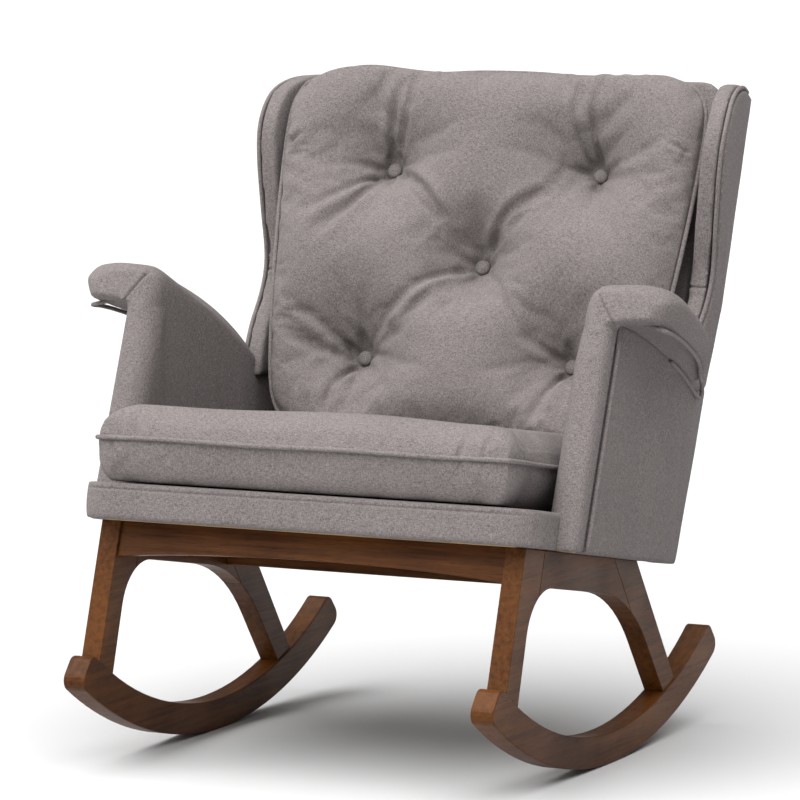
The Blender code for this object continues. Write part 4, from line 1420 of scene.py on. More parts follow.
    def section(self, y: float, foot: float, crest: float, outer: float, welt: float, drop: float) -> Points:
        """One slice of the flared top, from the inner foot round to the outer foot.

        Args:
            y: Place along the arm.
            foot: Height where it stands on the faces.
            crest: Its highest point.
            outer: X of its outer edge.
            welt: Height of the welt under that edge.
            drop: How far the inner edge lies under the crest.

        Returns:
            The ring of points.
        """
        inner, thick = self.inner, crest - foot
        edge, low = self.lip(y, foot, outer, welt)
        low += self.welt
        reach = outer - inner
        top = max(crest - drop, foot + 0.010)
        panel = min(self.outer - 0.003, edge - 0.008)
        turn = self.corner(y - self.stations[0][0] + 0.0015)
        knots = (
            (inner + turn + 0.0004 + self.opening(foot), foot - 0.012),
            (inner + turn + 0.0004 + self.opening(foot), foot + (top - foot) * 0.30),
            (inner + turn + 0.0035 + self.opening(foot) * 1.2, top - (top - foot) * 0.28),
            (inner + turn + 0.012 + self.opening(top) * 0.5, top - thick * 0.05),
            (inner + reach * 0.26, top + (crest - top) * 0.40),
            (inner + reach * 0.46, crest - (crest - top) * 0.16),
            (inner + reach * 0.66, crest),
            (outer - 0.016, crest - 0.0045),
            (outer - 0.004, crest - 0.015),
            (outer + 0.0002, crest - 0.45 * (crest - low)),
            (outer - 0.003, low + 0.30 * (crest - low)),
            (edge + 0.003, low + 0.002),
            (edge - 0.004, low - 0.0005),
            (panel, foot + 0.001),
            (panel - 0.012, foot - 0.012),
        )
        lean = self.lean_at(y)
        out = []
        for x, z in smooth_path(knots, 3):
            slid = y + lean * (z - foot)
            out.append(DATUMS.at(self.side.sign * (x - self.taper(slid, z, self.slopes[0])), slid, z))
        return out

    def band_slice(self, height: float) -> Points:
        """One slice of the front band: broadly rounded inside, tighter outside.

        Args:
            height: How far up the lean.

        Returns:
            The ring of points.
        """
        rear = self.band
        outer = self.outer - GAP
        corners = ((self.inner, 0.0), (outer, 0.0), (outer, rear), (self.inner, rear))
        out = []
        for x, back in rounded(corners, (0.025, 0.012, 0.0, 0.0), 8):
            y, z = self.foot(back, 0.0006)
            y, z = y + height * math.sin(DATUMS.arm_lean), z + height * math.cos(DATUMS.arm_lean)
            out.append(DATUMS.at(self.side.sign * (x + self.opening(z) * (self.outer - x) / 0.05), y, z))
        return out

    def build_cover(self) -> None:
        """The inner face, front band and flared top as one padded skin, with its mitre seam."""
        name = self.side.value
        outline = self.side_outline(self.band - 0.004, 0.0006, 0.001)
        cuts = np.linspace(-0.14, 0.33, 24)
        straight = self.place(self.slopes[0])

        def leaning(y: float, z: float, x: float) -> Vector:
            """Places a point of the inner face, which opens outwards near its top."""
            return straight(y, z, x + self.opening(z))

        slab = sliced_prism("slab", outline, self.inner, self.inner + 0.0125, leaning, cuts)
        top = (self.band_top - self.foot(0.0)[1]) / math.cos(DATUMS.arm_lean)
        band = loft("band", [self.band_slice(top * k / 9) for k in range(10)])
        rows = [(*station, drop) for station, drop in zip(self.stations, self.drops)]
        flare = loft("flare", [self.section(*row) for row in smooth_path(rows, 5)])
        obj = joined(f"arm_cover_{name}", [slab, band, flare])
        self.maker.soften(obj, 0.0034, 7)
        self.sew(obj)
        nodes = (f"arm_inner_pad_{name}", f"arm_front_band_{name}", f"arm_top_pad_{name}")
        self.maker.hang(obj, Body.CHAIR, nodes, fill=0.85)

    def sew(self, obj: Piece) -> None:
        """Draws in the mitre seam at the front corner and ripples the cloth that it gathers."""
        start, end = (DATUMS.at(self.side.sign * x, y, z) for x, y, z in self.mitre)
        self.maker.seam(obj, start, end, Vector((0.0, -0.93, 0.37)), 0.0026, 0.0006)

    def build_panel(self) -> None:
        """The plain outer panel, drawn tight over its board."""
        name = self.side.value
        outline = self.side_outline(self.band + 0.0070, -0.0008, -0.0045)
        cuts = np.linspace(0.08, 0.33, 12)
        place = self.place(self.slopes[1])
        obj = sliced_prism(f"arm_outer_cover_{name}", outline, self.inner + 0.0122, self.outer, place, cuts)
        self.maker.soften(obj, 0.0038, 4)
        points, out = coordinates(obj), normals(obj)
        outside = np.clip(out[:, 0] * self.side.sign, 0, 1) ** 2
        wave = np.sin(points[:, 1] * 19 + points[:, 2] * 7) * np.sin(points[:, 2] * 23 + 0.7)
        reshape(obj, points + out * (0.0007 * wave * outside)[:, None])
        self.maker.hang(obj, Body.CHAIR, (f"arm_outer_panel_{name}",), fill=0.9)

    def welt_path(self) -> Array:
        """The welt's line: up the front's outer edge, out round the flare, and in to the panel at its end.

        Returns:
            Points at an even spacing.
        """
        groove = self.band + 0.0035
        x = self.outer + 0.0012
        low_z = self.foot(groove)[1] + self.welt
        high_z = self.stations[0][1] + 0.0005
        knots = []
        for k in range(8):
            z = low_z + (high_z - low_z) * k / 7
            knots.append((x, DATUMS.arm_front_y(z, groove), z))
        for y, foot, _, outer, welt in smooth_path(self.stations[1:-1], 2)[1:]:
            px, pz = self.lip(y, foot, outer, welt)
            front = max(0.0, 1 - (y + 0.125) / 0.08)
            leant = y + self.lean_at(y) * (pz - foot)
            knots.append((px + 0.002 + 0.0035 * front, leant, pz + 0.0006 - 0.0055 * front))
        last = self.stations[-1]
        knots.append((last[3] - 0.004, last[0] + 0.002, last[1] + 0.012))
        knots.append((last[3] - 0.006, last[0] + 0.004, last[1] - 0.004))
        knots.append((self.outer + 0.001, last[0] - 0.014, last[1] + 0.001))
        for row in self.stations[-3:-5:-1]:
            knots.append((self.outer + 0.001, row[0] + 0.004, row[1] - 0.004))
        path = [DATUMS.at(self.side.sign * (a - self.taper(b, c, self.slopes[0])), b, c) for a, b, c in knots]
        return evened(smooth_path(path, 8), CORD_STEP)

    def build_welt(self) -> None:
        """The covered cord."""
        name = self.side.value
        obj = cord(f"arm_piping_{name}", self.welt_path(), self.welt, pinch=0.7)
        self.maker.hang(obj, Body.CHAIR, (f"arm_welt_{name}",), self.maker.finishes.welt)


# --- back and wings


@dataclass
class BackShell:
    """The fixed back: its plain rear panel and the pad behind the loose cushion.

    Attributes:
        panel_half: Half the rear panel's width, low and high.
        panel_span: Where it starts and ends up the back.
        panel_thick: Its thickness.
        pad_half: Half the pad's width.
        pad_span: Where the pad starts and ends up the back.
        pad_faces: How far its two faces are in front of the back's rear plane.
        foot_half: Half the width of the cover drawn down under the pad.
        foot_span: Where that starts and ends.
        foot_face: How far its face is in front of the rear plane.
    """

    maker: Upholsterer
    panel_half: Pair = (0.3215, 0.3155)
    panel_span: Pair = (-0.2615, 0.4015)
    panel_thick: float = 0.0060
    pad_half: float = 0.2935
    pad_span: Pair = (-0.1645, 0.4005)
    pad_faces: Pair = (0.0055, 0.0500)
    foot_half: float = 0.2850
    foot_span: Pair = (-0.2500, -0.1500)
    foot_face: float = 0.0330

    def sheet(self, halves: Pair, span: Pair) -> list[Pair]:
        """Corners of a flat piece, from its half widths low and high and its span up the back."""
        (low_half, high_half), (low, high) = halves, span
        return [(-low_half, low), (low_half, low), (high_half, high), (-high_half, high)]

    def build(self) -> None:
        """Builds both covers."""
        turn = Matrix.Rotation(DATUMS.back_rake, 4, "X")
        outline = rounded(self.sheet(self.panel_half, self.panel_span), (0.02, 0.02, 0.04, 0.04))
        obj = prism("outside_back_cover", outline, 0.0, self.panel_thick, DATUMS.back)
        self.maker.soften(obj, 0.0040, 3)
        self.maker.hang(obj, Body.CHAIR, ("outside_back_panel",), fill=0.9, turn=turn)
        outline = rounded(self.sheet((self.pad_half, self.pad_half), self.pad_span), (0.0, 0.0, 0.03, 0.03))
        pad = prism("pad", outline, *self.pad_faces, DATUMS.back)
        outline = self.sheet((self.foot_half, self.foot_half), self.foot_span)
        foot = prism("foot", outline, self.pad_faces[0], self.foot_face, DATUMS.back)
        obj = joined("inside_back_cover", [pad, foot])
        self.maker.soften(obj, 0.0050, 3)
        self.maker.hang(obj, Body.CHAIR, ("inside_back_pad",), fill=0.8, turn=turn)


@dataclass
class Wing:
    """One wing: a padded front and inside, a plain outer panel and the welt between.

    Attributes:
        side: Which wing.
        front: (y, z) of its front edge, from its foot to its top.
        outer: X of its outer face at the flare's height.
        thick: Its thickness.
        panel: Thickness of the outer panel.
        flare: How much it opens per metre of height.
        flare_z: The height that the flare is measured from.
        taper: How much it narrows per metre behind its bend.
        bend: Y of that bend.
        tuck: How far its foot is drawn in behind the arm.
        seam_z: Height of the seam low on its front.
        rear_m: How far its rear edge is in front of the back's rear plane.
        welt: Radius of the welt.
    """

    maker: Upholsterer
    side: Side
    front: tuple[Pair, ...] = (
        (0.1520, 0.4725),
        (0.1680, 0.5050),
        (0.1960, 0.5420),
        (0.2350, 0.5820),
        (0.2570, 0.6300),
        (0.2550, 0.7000),
        (0.2540, 0.7700),
        (0.2640, 0.8200),
        (0.2950, 0.8620),
        (0.3400, 0.8800),
        (0.3950, 0.8820),
        (0.4380, 0.8720),
    )
    outer: float = 0.355
    thick: float = 0.034
    panel: float = 0.0095
    flare: float = 0.070
    flare_z: float = 0.750
    taper: float = 0.230
    bend: float = 0.270
    tuck: float = 0.006
    seam_z: float = 0.6130
    rear_m: float = 0.0065
    welt: float = 0.0030

    def place(self, y: float, z: float, x: float) -> Vector:
        """Places a side-view point at this depth of the wing.

        Args:
            y: Place along the side view.
            z: Its height.
            x: Place through the wing, from the chair's middle.

        Returns:
            The point.
        """
        away = self.taper * self.soft(y - self.bend)
        away += self.tuck * min(1.0, max(0.0, (0.570 - z) / 0.08))
        return DATUMS.at(self.side.sign * (x + self.flare * (z - self.flare_z) - away), y, z)

    def soft(self, over: float, ease: float = 0.012) -> float:
        """A ramp that starts gently."""
        return (over + math.sqrt(over * over + ease * ease)) / 2 - ease / 4

    def outline(self, inset: float) -> list[Pair]:
        """The wing's side view, its front and top edges drawn in by the inset.

        Args:
            inset: How far they are drawn in.

        Returns:
            Points in (y, z).
        """
        knots = smooth_path(self.front, 4)
        ahead = np.gradient(knots, axis=0)
        ahead /= np.linalg.norm(ahead, axis=1)[:, None]
        moved = np.stack([knots[:, 0] + ahead[:, 1] * inset, knots[:, 1] - ahead[:, 0] * inset], axis=1)
        low, top = self.front[0][1], moved[-1]
        moved[0, 1] = low
        points = [tuple(p) for p in moved if p[0] < DATUMS.back_y(p[1], self.rear_m) - 0.002]
        for z in (top[1] - 0.004, low):
            points.append((DATUMS.back_y(z, self.rear_m), z))
        return points

    def build(self) -> None:
        """Builds the pad, the outer panel and the welt."""
        name = self.side.value
        inner, split = self.outer - self.thick, self.outer - self.panel
        cuts = np.linspace(self.bend - 0.03, self.bend + 0.17, 30)
        obj = sliced_prism(f"wing_cover_{name}", self.outline(0.0), inner, split - GAP, self.place, cuts)
        self.maker.soften(obj, 0.0034, 9)
        self.sew(obj)
        self.maker.hang(obj, Body.CHAIR, (f"wing_pad_{name}",), fill=0.85)
        outline = self.outline(0.0085)
        panel = sliced_prism(f"wing_outer_cover_{name}", outline, split, self.outer, self.place, cuts)
        self.maker.soften(panel, 0.0034, 5)
        self.maker.hang(panel, Body.CHAIR, (f"wing_outer_panel_{name}",), fill=0.9)
        along = self.outline(0.0042)[:-2]
        path = np.array([self.place(y, z, split + self.welt + GAP) for y, z in along])
        path[0, 2] += self.welt
        piping = cord(f"wing_piping_{name}", evened(path, CORD_STEP), self.welt, pinch=0.7)
        self.maker.hang(piping, Body.CHAIR, (f"wing_welt_{name}",), self.maker.finishes.welt)

    def sew(self, obj: Piece) -> None:
        """Draws in the seam low on the wing's front, where its lower piece of cloth begins.

        Args:
            obj: The cover.
        """
        inner, outer = self.outer - self.thick, self.outer - self.panel
        start = self.place(0.252, self.seam_z, inner - 0.006)
        end = self.place(0.262, self.seam_z, outer + 0.012)
        self.maker.seam(obj, start, end, Vector((0.0, -1.0, 0.0)), 0.0022)


# --- loose cushions


@dataclass(frozen=True)
class Crease:
    """One fold in a cushion's face.

    Attributes:
        line: Points (x, t) that it runs through, from its deep end.
        depth: Depth at its deep end.
        width: Half its width there.
        roll: Height of the roll of cloth beside it.
        fade: Share of the depth that is left at its far end.
    """

    line: tuple[Pair, ...]
    depth: float
    width: float = 0.009
    roll: float = 0.4
    fade: float = 0.1


@dataclass
class Pillow:
    """What both loose cushions share: two sheets of cloth sewn together round a welt.

    Attributes:
        columns: Faces across.
        rows: Faces up.
        frames: How long the filling is let settle.
        welt: Radius of the welt.
    """

    maker: Upholsterer
    columns: int = 108
    rows: int = 96
    frames: int = 20
    welt: float = 0.0031

    def plan(self, a: Array, b: Array) -> tuple[Array, Array]:
        """Plane place of a grid point. Each cushion gives its own."""
        raise NotImplementedError

    def sheet_pair(self, name: str, over: Sheet, under: Sheet) -> Piece:
        """Two sheets over one square grid, joined round their edge.

        Args:
            name: The object's name.
            over: Places of the outer sheet for grids a and b from -1 to 1.
            under: Places of the other sheet.

        Returns:
            The closed object.
        """
        places_a = np.linspace(-1, 1, self.columns + 1)
        places_b = np.linspace(-1, 1, self.rows + 1)
        a, b = np.meshgrid(places_a, places_b, indexing="ij")
        shape = bmesh.new()
        grids = []
        for places in (over(a, b), under(a, b)):
            grid = {}
            for i in range(self.columns + 1):
                for j in range(self.rows + 1):
                    edge = i in (0, self.columns) or j in (0, self.rows)
                    grid[i, j] = grids[0][i, j] if edge and grids else shape.verts.new(places[i, j])
            grids.append(grid)
        for grid, turned in zip(grids, (False, True)):
            for i in range(self.columns):
                for j in range(self.rows):
                    loop = [grid[i, j], grid[i + 1, j], grid[i + 1, j + 1], grid[i, j + 1]]
                    shape.faces.new(loop[::-1] if turned else loop)
        return object_from(name, shape)

    def wall(
        self, a: Array, half: float, radius: float, height: float, power: float
    ) -> tuple[Array, Array]:
        """Runs a grid line in from the edge: over the turned edge first, then across the face.

        Args:
            a: Grid places from -1 to 1.
            half: Half the face's width.
            radius: How far in the edge turns over.
            height: Height of the turned edge.
            power: 2 for a round edge, more for a boxy one.

        Returns:
            Places across from -1 to 1, and the share of the height reached.
        """
        turn = np.linspace(0, math.pi / 2, 60)
        inward = np.append(radius * (1 - np.cos(turn) ** (2 / power)), half)
        share = np.append(np.sin(turn) ** (2 / power), 1.0)
        steps = np.hypot(np.diff(inward), np.diff(share) * height)
        run = np.concatenate([[0.0], np.cumsum(steps)])
        at = (1 - np.abs(a)) * run[-1]
        return np.sign(a) * (1 - np.interp(at, run, inward) / half), np.interp(at, run, share)

    def rim(self) -> list[Pair]:
        """The welt's route round the cushion's plan.

        Returns:
            Plane places round the edge, pushed out towards the middle of the welt.
        """
        a = np.linspace(-1, 1, self.columns + 1)
        b = np.linspace(-1, 1, self.rows + 1)
        loop = [(p, -1.0) for p in a[:-1]] + [(1.0, q) for q in b[:-1]]
        loop += [(p, 1.0) for p in a[:0:-1]] + [(-1.0, q) for q in b[:0:-1]]
        ring = [tuple(map(float, self.plan(np.array(p), np.array(q)))) for p, q in loop]
        out = []
        for i, (x, along) in enumerate(ring):
            ahead = (Vector(ring[(i + 1) % len(ring)]) - Vector(ring[i - 1])).normalized()
            reach = self.welt - 0.0004
            out.append((x + ahead.y * reach, along - ahead.x * reach))
        return out

    def inflate(self, obj: Piece, held: Array, grow: float, cap: float) -> None:
        """Fills the cover: a cloth simulation under pressure, with some points held.

        Args:
            obj: The closed cover.
            held: 0 to 1 for each vertex, 1 where it can't move.
            grow: How much the cloth is larger than its start.
            cap: How far a point may move.
        """
        rest = coordinates(obj)
        pins = obj.vertex_groups.new(name="held")
        for value in np.unique(np.round(held, 2)):
            which = np.flatnonzero(np.round(held, 2) == value)
            if value > 0:
                pins.add(which.tolist(), float(value), "REPLACE")
        cloth = obj.modifiers.new("fill", "CLOTH")
        settings = cloth.settings
        settings.quality = 5
        settings.mass = 0.25
        settings.air_damping = 3.0
        settings.tension_stiffness = 22.0
        settings.compression_stiffness = 18.0
        settings.shear_stiffness = 6.0
        settings.bending_stiffness = 0.25
        settings.vertex_group_mass = "held"
        settings.shrink_min = -grow
        settings.use_pressure = True
        settings.uniform_pressure_force = 3.0
        settings.effector_weights.gravity = 0.0
        cloth.collision_settings.use_collision = False
        cloth.point_cache.frame_start = 1
        cloth.point_cache.frame_end = self.frames
        for frame in range(1, self.frames + 1):
            bpy.context.scene.frame_set(frame)
        apply_all(obj)
        bpy.context.scene.frame_set(1)
        moved = coordinates(obj) - rest
        length = np.linalg.norm(moved, axis=1)
        limit = cap * np.tanh(length / cap) / np.maximum(length, 1e-9)
        reshape(obj, rest + moved * limit[:, None])
        log.info("%s: filled, largest move %.1f mm", obj.name, length.max() * 1000)

    def divide(self, obj: Piece) -> None:
        """Adds a round of subdivision.

        Args:
            obj: The cover.
        """
        finer = obj.modifiers.new("finer", "SUBSURF")
        finer.levels = 1
        finer.render_levels = 1
        apply_all(obj)


@dataclass
class SeatCushion(Pillow):
    """The loose seat cushion: two full faces, a welt at mid height and gathered corners.

    Attributes:
        half: Half its width.
        span: Its front and rear along the seat.
        rest: Height of its underside over the seat plane.
        under: Height of its welt over its underside.
        crown: Height of its middle over the welt.
        edge: Height of its upper face's turned edge.
        ears: How far its front corners swell out past the arms.
        pleats: (x, depth, 1 above the welt or -1 below) of each pleat along its front.
    """

    half: float = 0.302
    span: Pair = (-0.020, 0.448)
    rest: float = 0.0515
    under: float = 0.056
    crown: float = 0.047
    edge: float = 0.040
    ears: float = 0.012
    pleats: tuple[Triple, ...] = (
        (0.229, 0.0050, 1.0),
        (0.262, 0.0045, 1.0),
        (0.232, 0.0040, -1.0),
        (0.266, 0.0036, -1.0),
        (-0.264, 0.0040, 1.0),
        (-0.240, 0.0025, 1.0),
        (-0.277, 0.0048, -1.0),
        (-0.252, 0.0025, -1.0),
        (0.120, 0.0012, 1.0),
        (-0.120, 0.0012, 1.0),
        (0.020, 0.0010, -1.0),
    )

    def plan(self, a: Array, b: Array) -> tuple[Array, Array]:
        """Plane place of a point: a square with soft corners, the front ones swelling past the arms.

        Args:
            a: Grid places across, -1 to 1.
            b: Grid places along, -1 to 1.

        Returns:
            Places (x, s).
        """
        front, rear = self.span
        wide = self.half - 2 * self.welt - GAP
        deep = (rear - front) / 2 - 2 * self.welt - GAP
        k = 0.03
        s = (front + rear) / 2 + deep * b * np.sqrt(1 - k * a**2 / 2 - 0.05 * a**12)
        ears = self.ears * np.clip(1 - (s - front) / 0.085, 0, 1) ** 0.7
        x = (wide + ears) * a * np.sqrt(1 - k * b**2 / 2 - 0.05 * b**16)
        return x, s

    def face(
        self, a: Array, b: Array, radius: float, height: float, crown: float
    ) -> Spots:
        """Plane place and height over the welt of one face's grid points.

        Args:
            a: Grid places across, -1 to 1.
            b: Grid places along, -1 to 1.
            radius: How far in the edge turns over.
            height: Height of the turned edge.
            crown: How much higher the middle is.

        Returns:
            Places x, s and the height off the welt.
        """
        deep, boxy = (self.span[1] - self.span[0]) / 2, 2.6
        pa, side = self.wall(a, self.half, radius, height, boxy)
        pb, ends = self.wall(b, deep, radius, height, boxy)
        x, s = self.plan(pa, pb)
        dome = (1 - np.abs(pa) ** 2.4) * (1 - np.abs(pb) ** 2.2)
        both = (np.maximum(side, 1e-3) ** -2 + np.maximum(ends, 1e-3) ** -2 - 1) ** -0.5
        corner = np.where(np.minimum(side, ends) <= 0, 0.0, both)
        return x, s, 0.0004 + corner * height + side * ends * crown * dome

    def build(self) -> None:
        """Builds the cushion and its welt."""
        level = self.rest + self.under
        slope = Slope.of(DATUMS.seat)

        def over(a: Array, b: Array) -> Array:
            """Places the upper face, crowned in its middle."""
            x, s, n = self.face(a, b, 0.048, self.edge, self.crown - self.edge)
            return slope.points(x, s, level + n)

        def below(a: Array, b: Array) -> Array:
            """Places the under face, flat where it lies on the deck."""
            x, s, n = self.face(a, b, 0.026, self.under - 0.001, 0.0)
            return slope.points(x, s, level - n)

        obj = self.sheet_pair("seat_cushion_cover", over, below)
        n = slope.read(coordinates(obj))[2] - level
        self.inflate(obj, (np.abs(n) < 0.0005).astype(float), 0.015, 0.006)
        self.divide(obj)
        points = coordinates(obj)
        x, s, n = slope.read(points)
        points = points + normals(obj) * self.gathers(x, s, n - level)[:, None]
        sunk = np.minimum(slope.read(points)[2] - (self.rest + 0.0002), 0.0)
        points = points - sunk[:, None] * slope.off
        room = self.half - 0.001 + (self.ears + 0.004) * np.clip(1 - (s - self.span[0]) / 0.075, 0, 1) ** 0.5
        points[:, 0] = np.clip(points[:, 0], -room, room)
        reshape(obj, points)
        turn = Matrix.Rotation(DATUMS.seat_tilt, 4, "X")
        self.maker.hang(obj, Body.SEAT_CUSHION, ("seat_cushion",), fill=0.85, turn=turn)
        path = np.array([DATUMS.seat(x, s, level + 0.0007 * math.sin(x * 24)) for x, s in self.rim()])
        piping = cord("seat_cushion_piping", evened(path, CORD_STEP, True), self.welt, True)
        self.maker.hang(piping, Body.SEAT_CUSHION, ("seat_cushion_welt",), self.maker.finishes.welt)

    def gathers(self, x: Array, s: Array, n: Array) -> Array:
        """The pleats and puckers of the front corners, and the soft swells of the top.

        Args:
            x: Places across.
            s: Places along the seat.
            n: Heights off the welt.

        Returns:
            How far each place stands out.
        """
        shift = np.zeros(len(x))
        front = np.clip(1 - (s - self.span[0]) / 0.09, 0, 1)
        for pleat_x, depth, face in self.pleats:
            near = gauss(x - pleat_x - 0.15 * (n - 0.01) * np.sign(pleat_x), 0.0030)
            beside = gauss(x - pleat_x + 0.006 * np.sign(pleat_x), 0.0055)
            reach = gauss(np.clip(n * face - 0.004, 0, 1), 0.028) * (n * face > 0.0005)
            shift += (-depth * near + 0.45 * depth * beside) * reach * front
        pucker = 0.0008 * np.sin(x * 210 + 1.7 * np.sin(x * 31)) * gauss(np.abs(n) - 0.006, 0.007) * front
        swell = 0.0022 * np.sin(x * 17 + 0.8) * np.sin(s * 13 + 0.4) * (n > 0.02)
        return shift + (pucker + swell)


@dataclass
class BackCushion(Pillow):
    """The loose back cushion: a knife-edged pillow with a welt, five buttons and the folds they pull.

    Attributes:
        length: Its height up the rake.
        low_half: Half its width at the foot.
        high_half: Half its width at the top.
        front: How far its face stands out.
        rear: How far its back stands out.
        sink: How far the buttons are drawn in.
        overhang: How far the face swells up over the top welt.
        button: Radius of a button.
        buttons: Name and place (x, up the cushion) of each button.
        creases: The folds that the buttons pull.
        twist: How far the cushion was turned when it was set down.
    """

    length: float = 0.535
    low_half: float = 0.281
    high_half: float = 0.324
    front: float = 0.046
    rear: float = 0.056
    sink: float = 0.042
    overhang: float = 0.012
    button: float = 0.0108
    buttons: tuple[tuple[str, float, float], ...] = (
        ("top_left", -0.154, 0.395),
        ("top_right", 0.154, 0.395),
        ("centre", 0.0, 0.257),
        ("bottom_left", -0.154, 0.119),
        ("bottom_right", 0.154, 0.119),
    )
    creases: tuple[Crease, ...] = (
        Crease(((-0.160, 0.400), (-0.152, 0.450), (-0.140, 0.515)), 0.010, 0.007, 0.6, 0.55),
        Crease(((-0.150, 0.402), (-0.128, 0.455), (-0.118, 0.515)), 0.006, 0.007, 0.5, 0.6),
        Crease(((0.146, 0.402), (0.128, 0.450), (0.120, 0.510)), 0.008, 0.006, 0.5, 0.35),
        Crease(((0.156, 0.404), (0.150, 0.455), (0.152, 0.512)), 0.009, 0.006, 0.5, 0.45),
        Crease(((-0.143, 0.390), (-0.085, 0.355), (-0.030, 0.285)), 0.007, 0.009, 0.7, 0.55),
        Crease(((0.008, 0.262), (0.050, 0.325), (0.110, 0.370)), 0.008, 0.009, 0.6, 0.3),
        Crease(((-0.010, 0.252), (-0.070, 0.215), (-0.140, 0.135)), 0.008, 0.009, 0.7, 0.5),
        Crease(((0.008, 0.250), (0.050, 0.215), (0.085, 0.170)), 0.004, 0.010, 0.4, 0.1),
        Crease(((0.0, 0.268), (0.002, 0.320), (0.000, 0.380)), 0.004, 0.010, 0.3, 0.0),
        Crease(((-0.162, 0.388), (-0.205, 0.350), (-0.262, 0.300)), 0.011, 0.009, 0.7, 0.15),
        Crease(((-0.160, 0.385), (-0.195, 0.320), (-0.245, 0.255)), 0.009, 0.010, 0.7, 0.1),
        Crease(((-0.165, 0.392), (-0.215, 0.390), (-0.265, 0.372)), 0.005, 0.010, 0.4, 0.1),
        Crease(((-0.163, 0.122), (-0.205, 0.150), (-0.262, 0.182)), 0.009, 0.010, 0.7, 0.2),
        Crease(((-0.162, 0.116), (-0.210, 0.118), (-0.262, 0.135)), 0.006, 0.010, 0.5, 0.2),
        Crease(((-0.158, 0.110), (-0.176, 0.070), (-0.186, 0.025)), 0.009, 0.008, 0.6, 0.4),
        Crease(((-0.150, 0.110), (-0.150, 0.065), (-0.156, 0.025)), 0.006, 0.008, 0.5, 0.4),
        Crease(((-0.154, 0.130), (-0.152, 0.190), (-0.158, 0.250)), 0.005, 0.011, 0.3, 0.0),
        Crease(((0.150, 0.110), (0.132, 0.060), (0.124, 0.020)), 0.009, 0.008, 0.6, 0.4),
        Crease(((0.144, 0.122), (0.095, 0.150), (0.045, 0.205)), 0.005, 0.011, 0.4, 0.1),
        Crease(((0.164, 0.392), (0.215, 0.385), (0.262, 0.395)), 0.004, 0.011, 0.3, 0.1),
        Crease(((0.156, 0.384), (0.162, 0.330), (0.160, 0.270)), 0.004, 0.012, 0.3, 0.0),
        Crease(((-0.296, 0.415), (-0.286, 0.424), (-0.276, 0.430)), 0.007, 0.0035, 0.6, 0.3),
        Crease(((0.296, 0.415), (0.284, 0.421), (0.266, 0.428)), 0.007, 0.0035, 0.6, 0.3),
    )
    twist: float = math.radians(3.0)

    def plan(self, a: Array, b: Array) -> tuple[Array, Array]:
        """Plane place of a grid point: rounder at the top, narrower at the foot.

        Args:
            a: Grid places across, -1 to 1.
            b: Grid places up, -1 to 1.

        Returns:
            Places (x, t).
        """
        top = np.clip(b, 0, 1)
        u = a * np.sqrt(1 - 0.06 * b**2 - 0.10 * b**10)
        v = b * np.sqrt(1 - (0.04 + 0.02 * top) * a**2 - 0.10 * a**10)
        share = (v + 1) / 2
        wide = self.low_half + (self.high_half - self.low_half) * np.clip(share * 1.1, 0, 1)
        half = self.length / 2 - 2 * self.welt - GAP
        x = (wide - 2 * self.welt - GAP) * u
        ears = 0.009 * gauss(x + 0.205, 0.055) + 0.004 * gauss(x - 0.240, 0.040)
        dips = 0.003 * gauss(x + 0.090, 0.040) + 0.003 * gauss(x - 0.120, 0.050)
        return x, self.length / 2 + half * v + (ears - dips) * top**6

    def tuft(self, x: Array, t: Array) -> Array:
        """How strongly the buttons draw the face in.

        Args:
            x: Places across.
            t: Places up the cushion.

        Returns:
            The pull at each place, 1 at a button.
        """
        free = np.ones_like(x)
        for _, bx, bt in self.buttons:
            away = np.hypot(x - bx, t - bt)
            free = free * (1 - 1 / (1 + (away / 0.042) ** 2.1))
        return 1 - free

    def build(self) -> None:
        """Builds the cushion, its welt and its buttons."""
        slope = Slope.of(DATUMS.cushion)
        obj = self.sheet_pair(
            "back_cushion_cover",
            lambda a, b: slope.points(*self.face(a, b)),
            lambda a, b: slope.points(*self.reverse(a, b)),
        )
        x, t, m = slope.read(coordinates(obj))
        held = (np.abs(m) < 0.00045).astype(float)
        for _, bx, bt in self.buttons:
            held = np.maximum(held, (np.hypot(x - bx, t - bt) < 0.0115).astype(float))
        self.inflate(obj, held, 0.035, 0.016)
        self.divide(obj)
        points, out = coordinates(obj), normals(obj)
        x, t, _ = slope.read(points)
        shift = self.folds(x, t) * np.clip((out @ slope.off) * 3, 0, 1)
        points = points + out * shift[:, None]
        _, _, m = slope.read(points)
        over = np.minimum(m + self.rear - 0.001, 0.0)
        reshape(obj, self.twisted(points - over[:, None] * slope.off))
        turn = Matrix.Rotation(DATUMS.cushion_rake, 4, "X")
        self.maker.hang(obj, Body.BACK_CUSHION, ("back_cushion",), fill=0.8, turn=turn)
        path = self.twisted(np.array([DATUMS.cushion(x, t, 0.0) for x, t in self.rim()]))
        piping = cord("back_cushion_piping", evened(path, CORD_STEP, True), self.welt, True)
        self.maker.hang(piping, Body.BACK_CUSHION, ("back_cushion_welt",), self.maker.finishes.welt)
        for name, bx, bt in self.buttons:
            self.build_button(name, bx, bt)

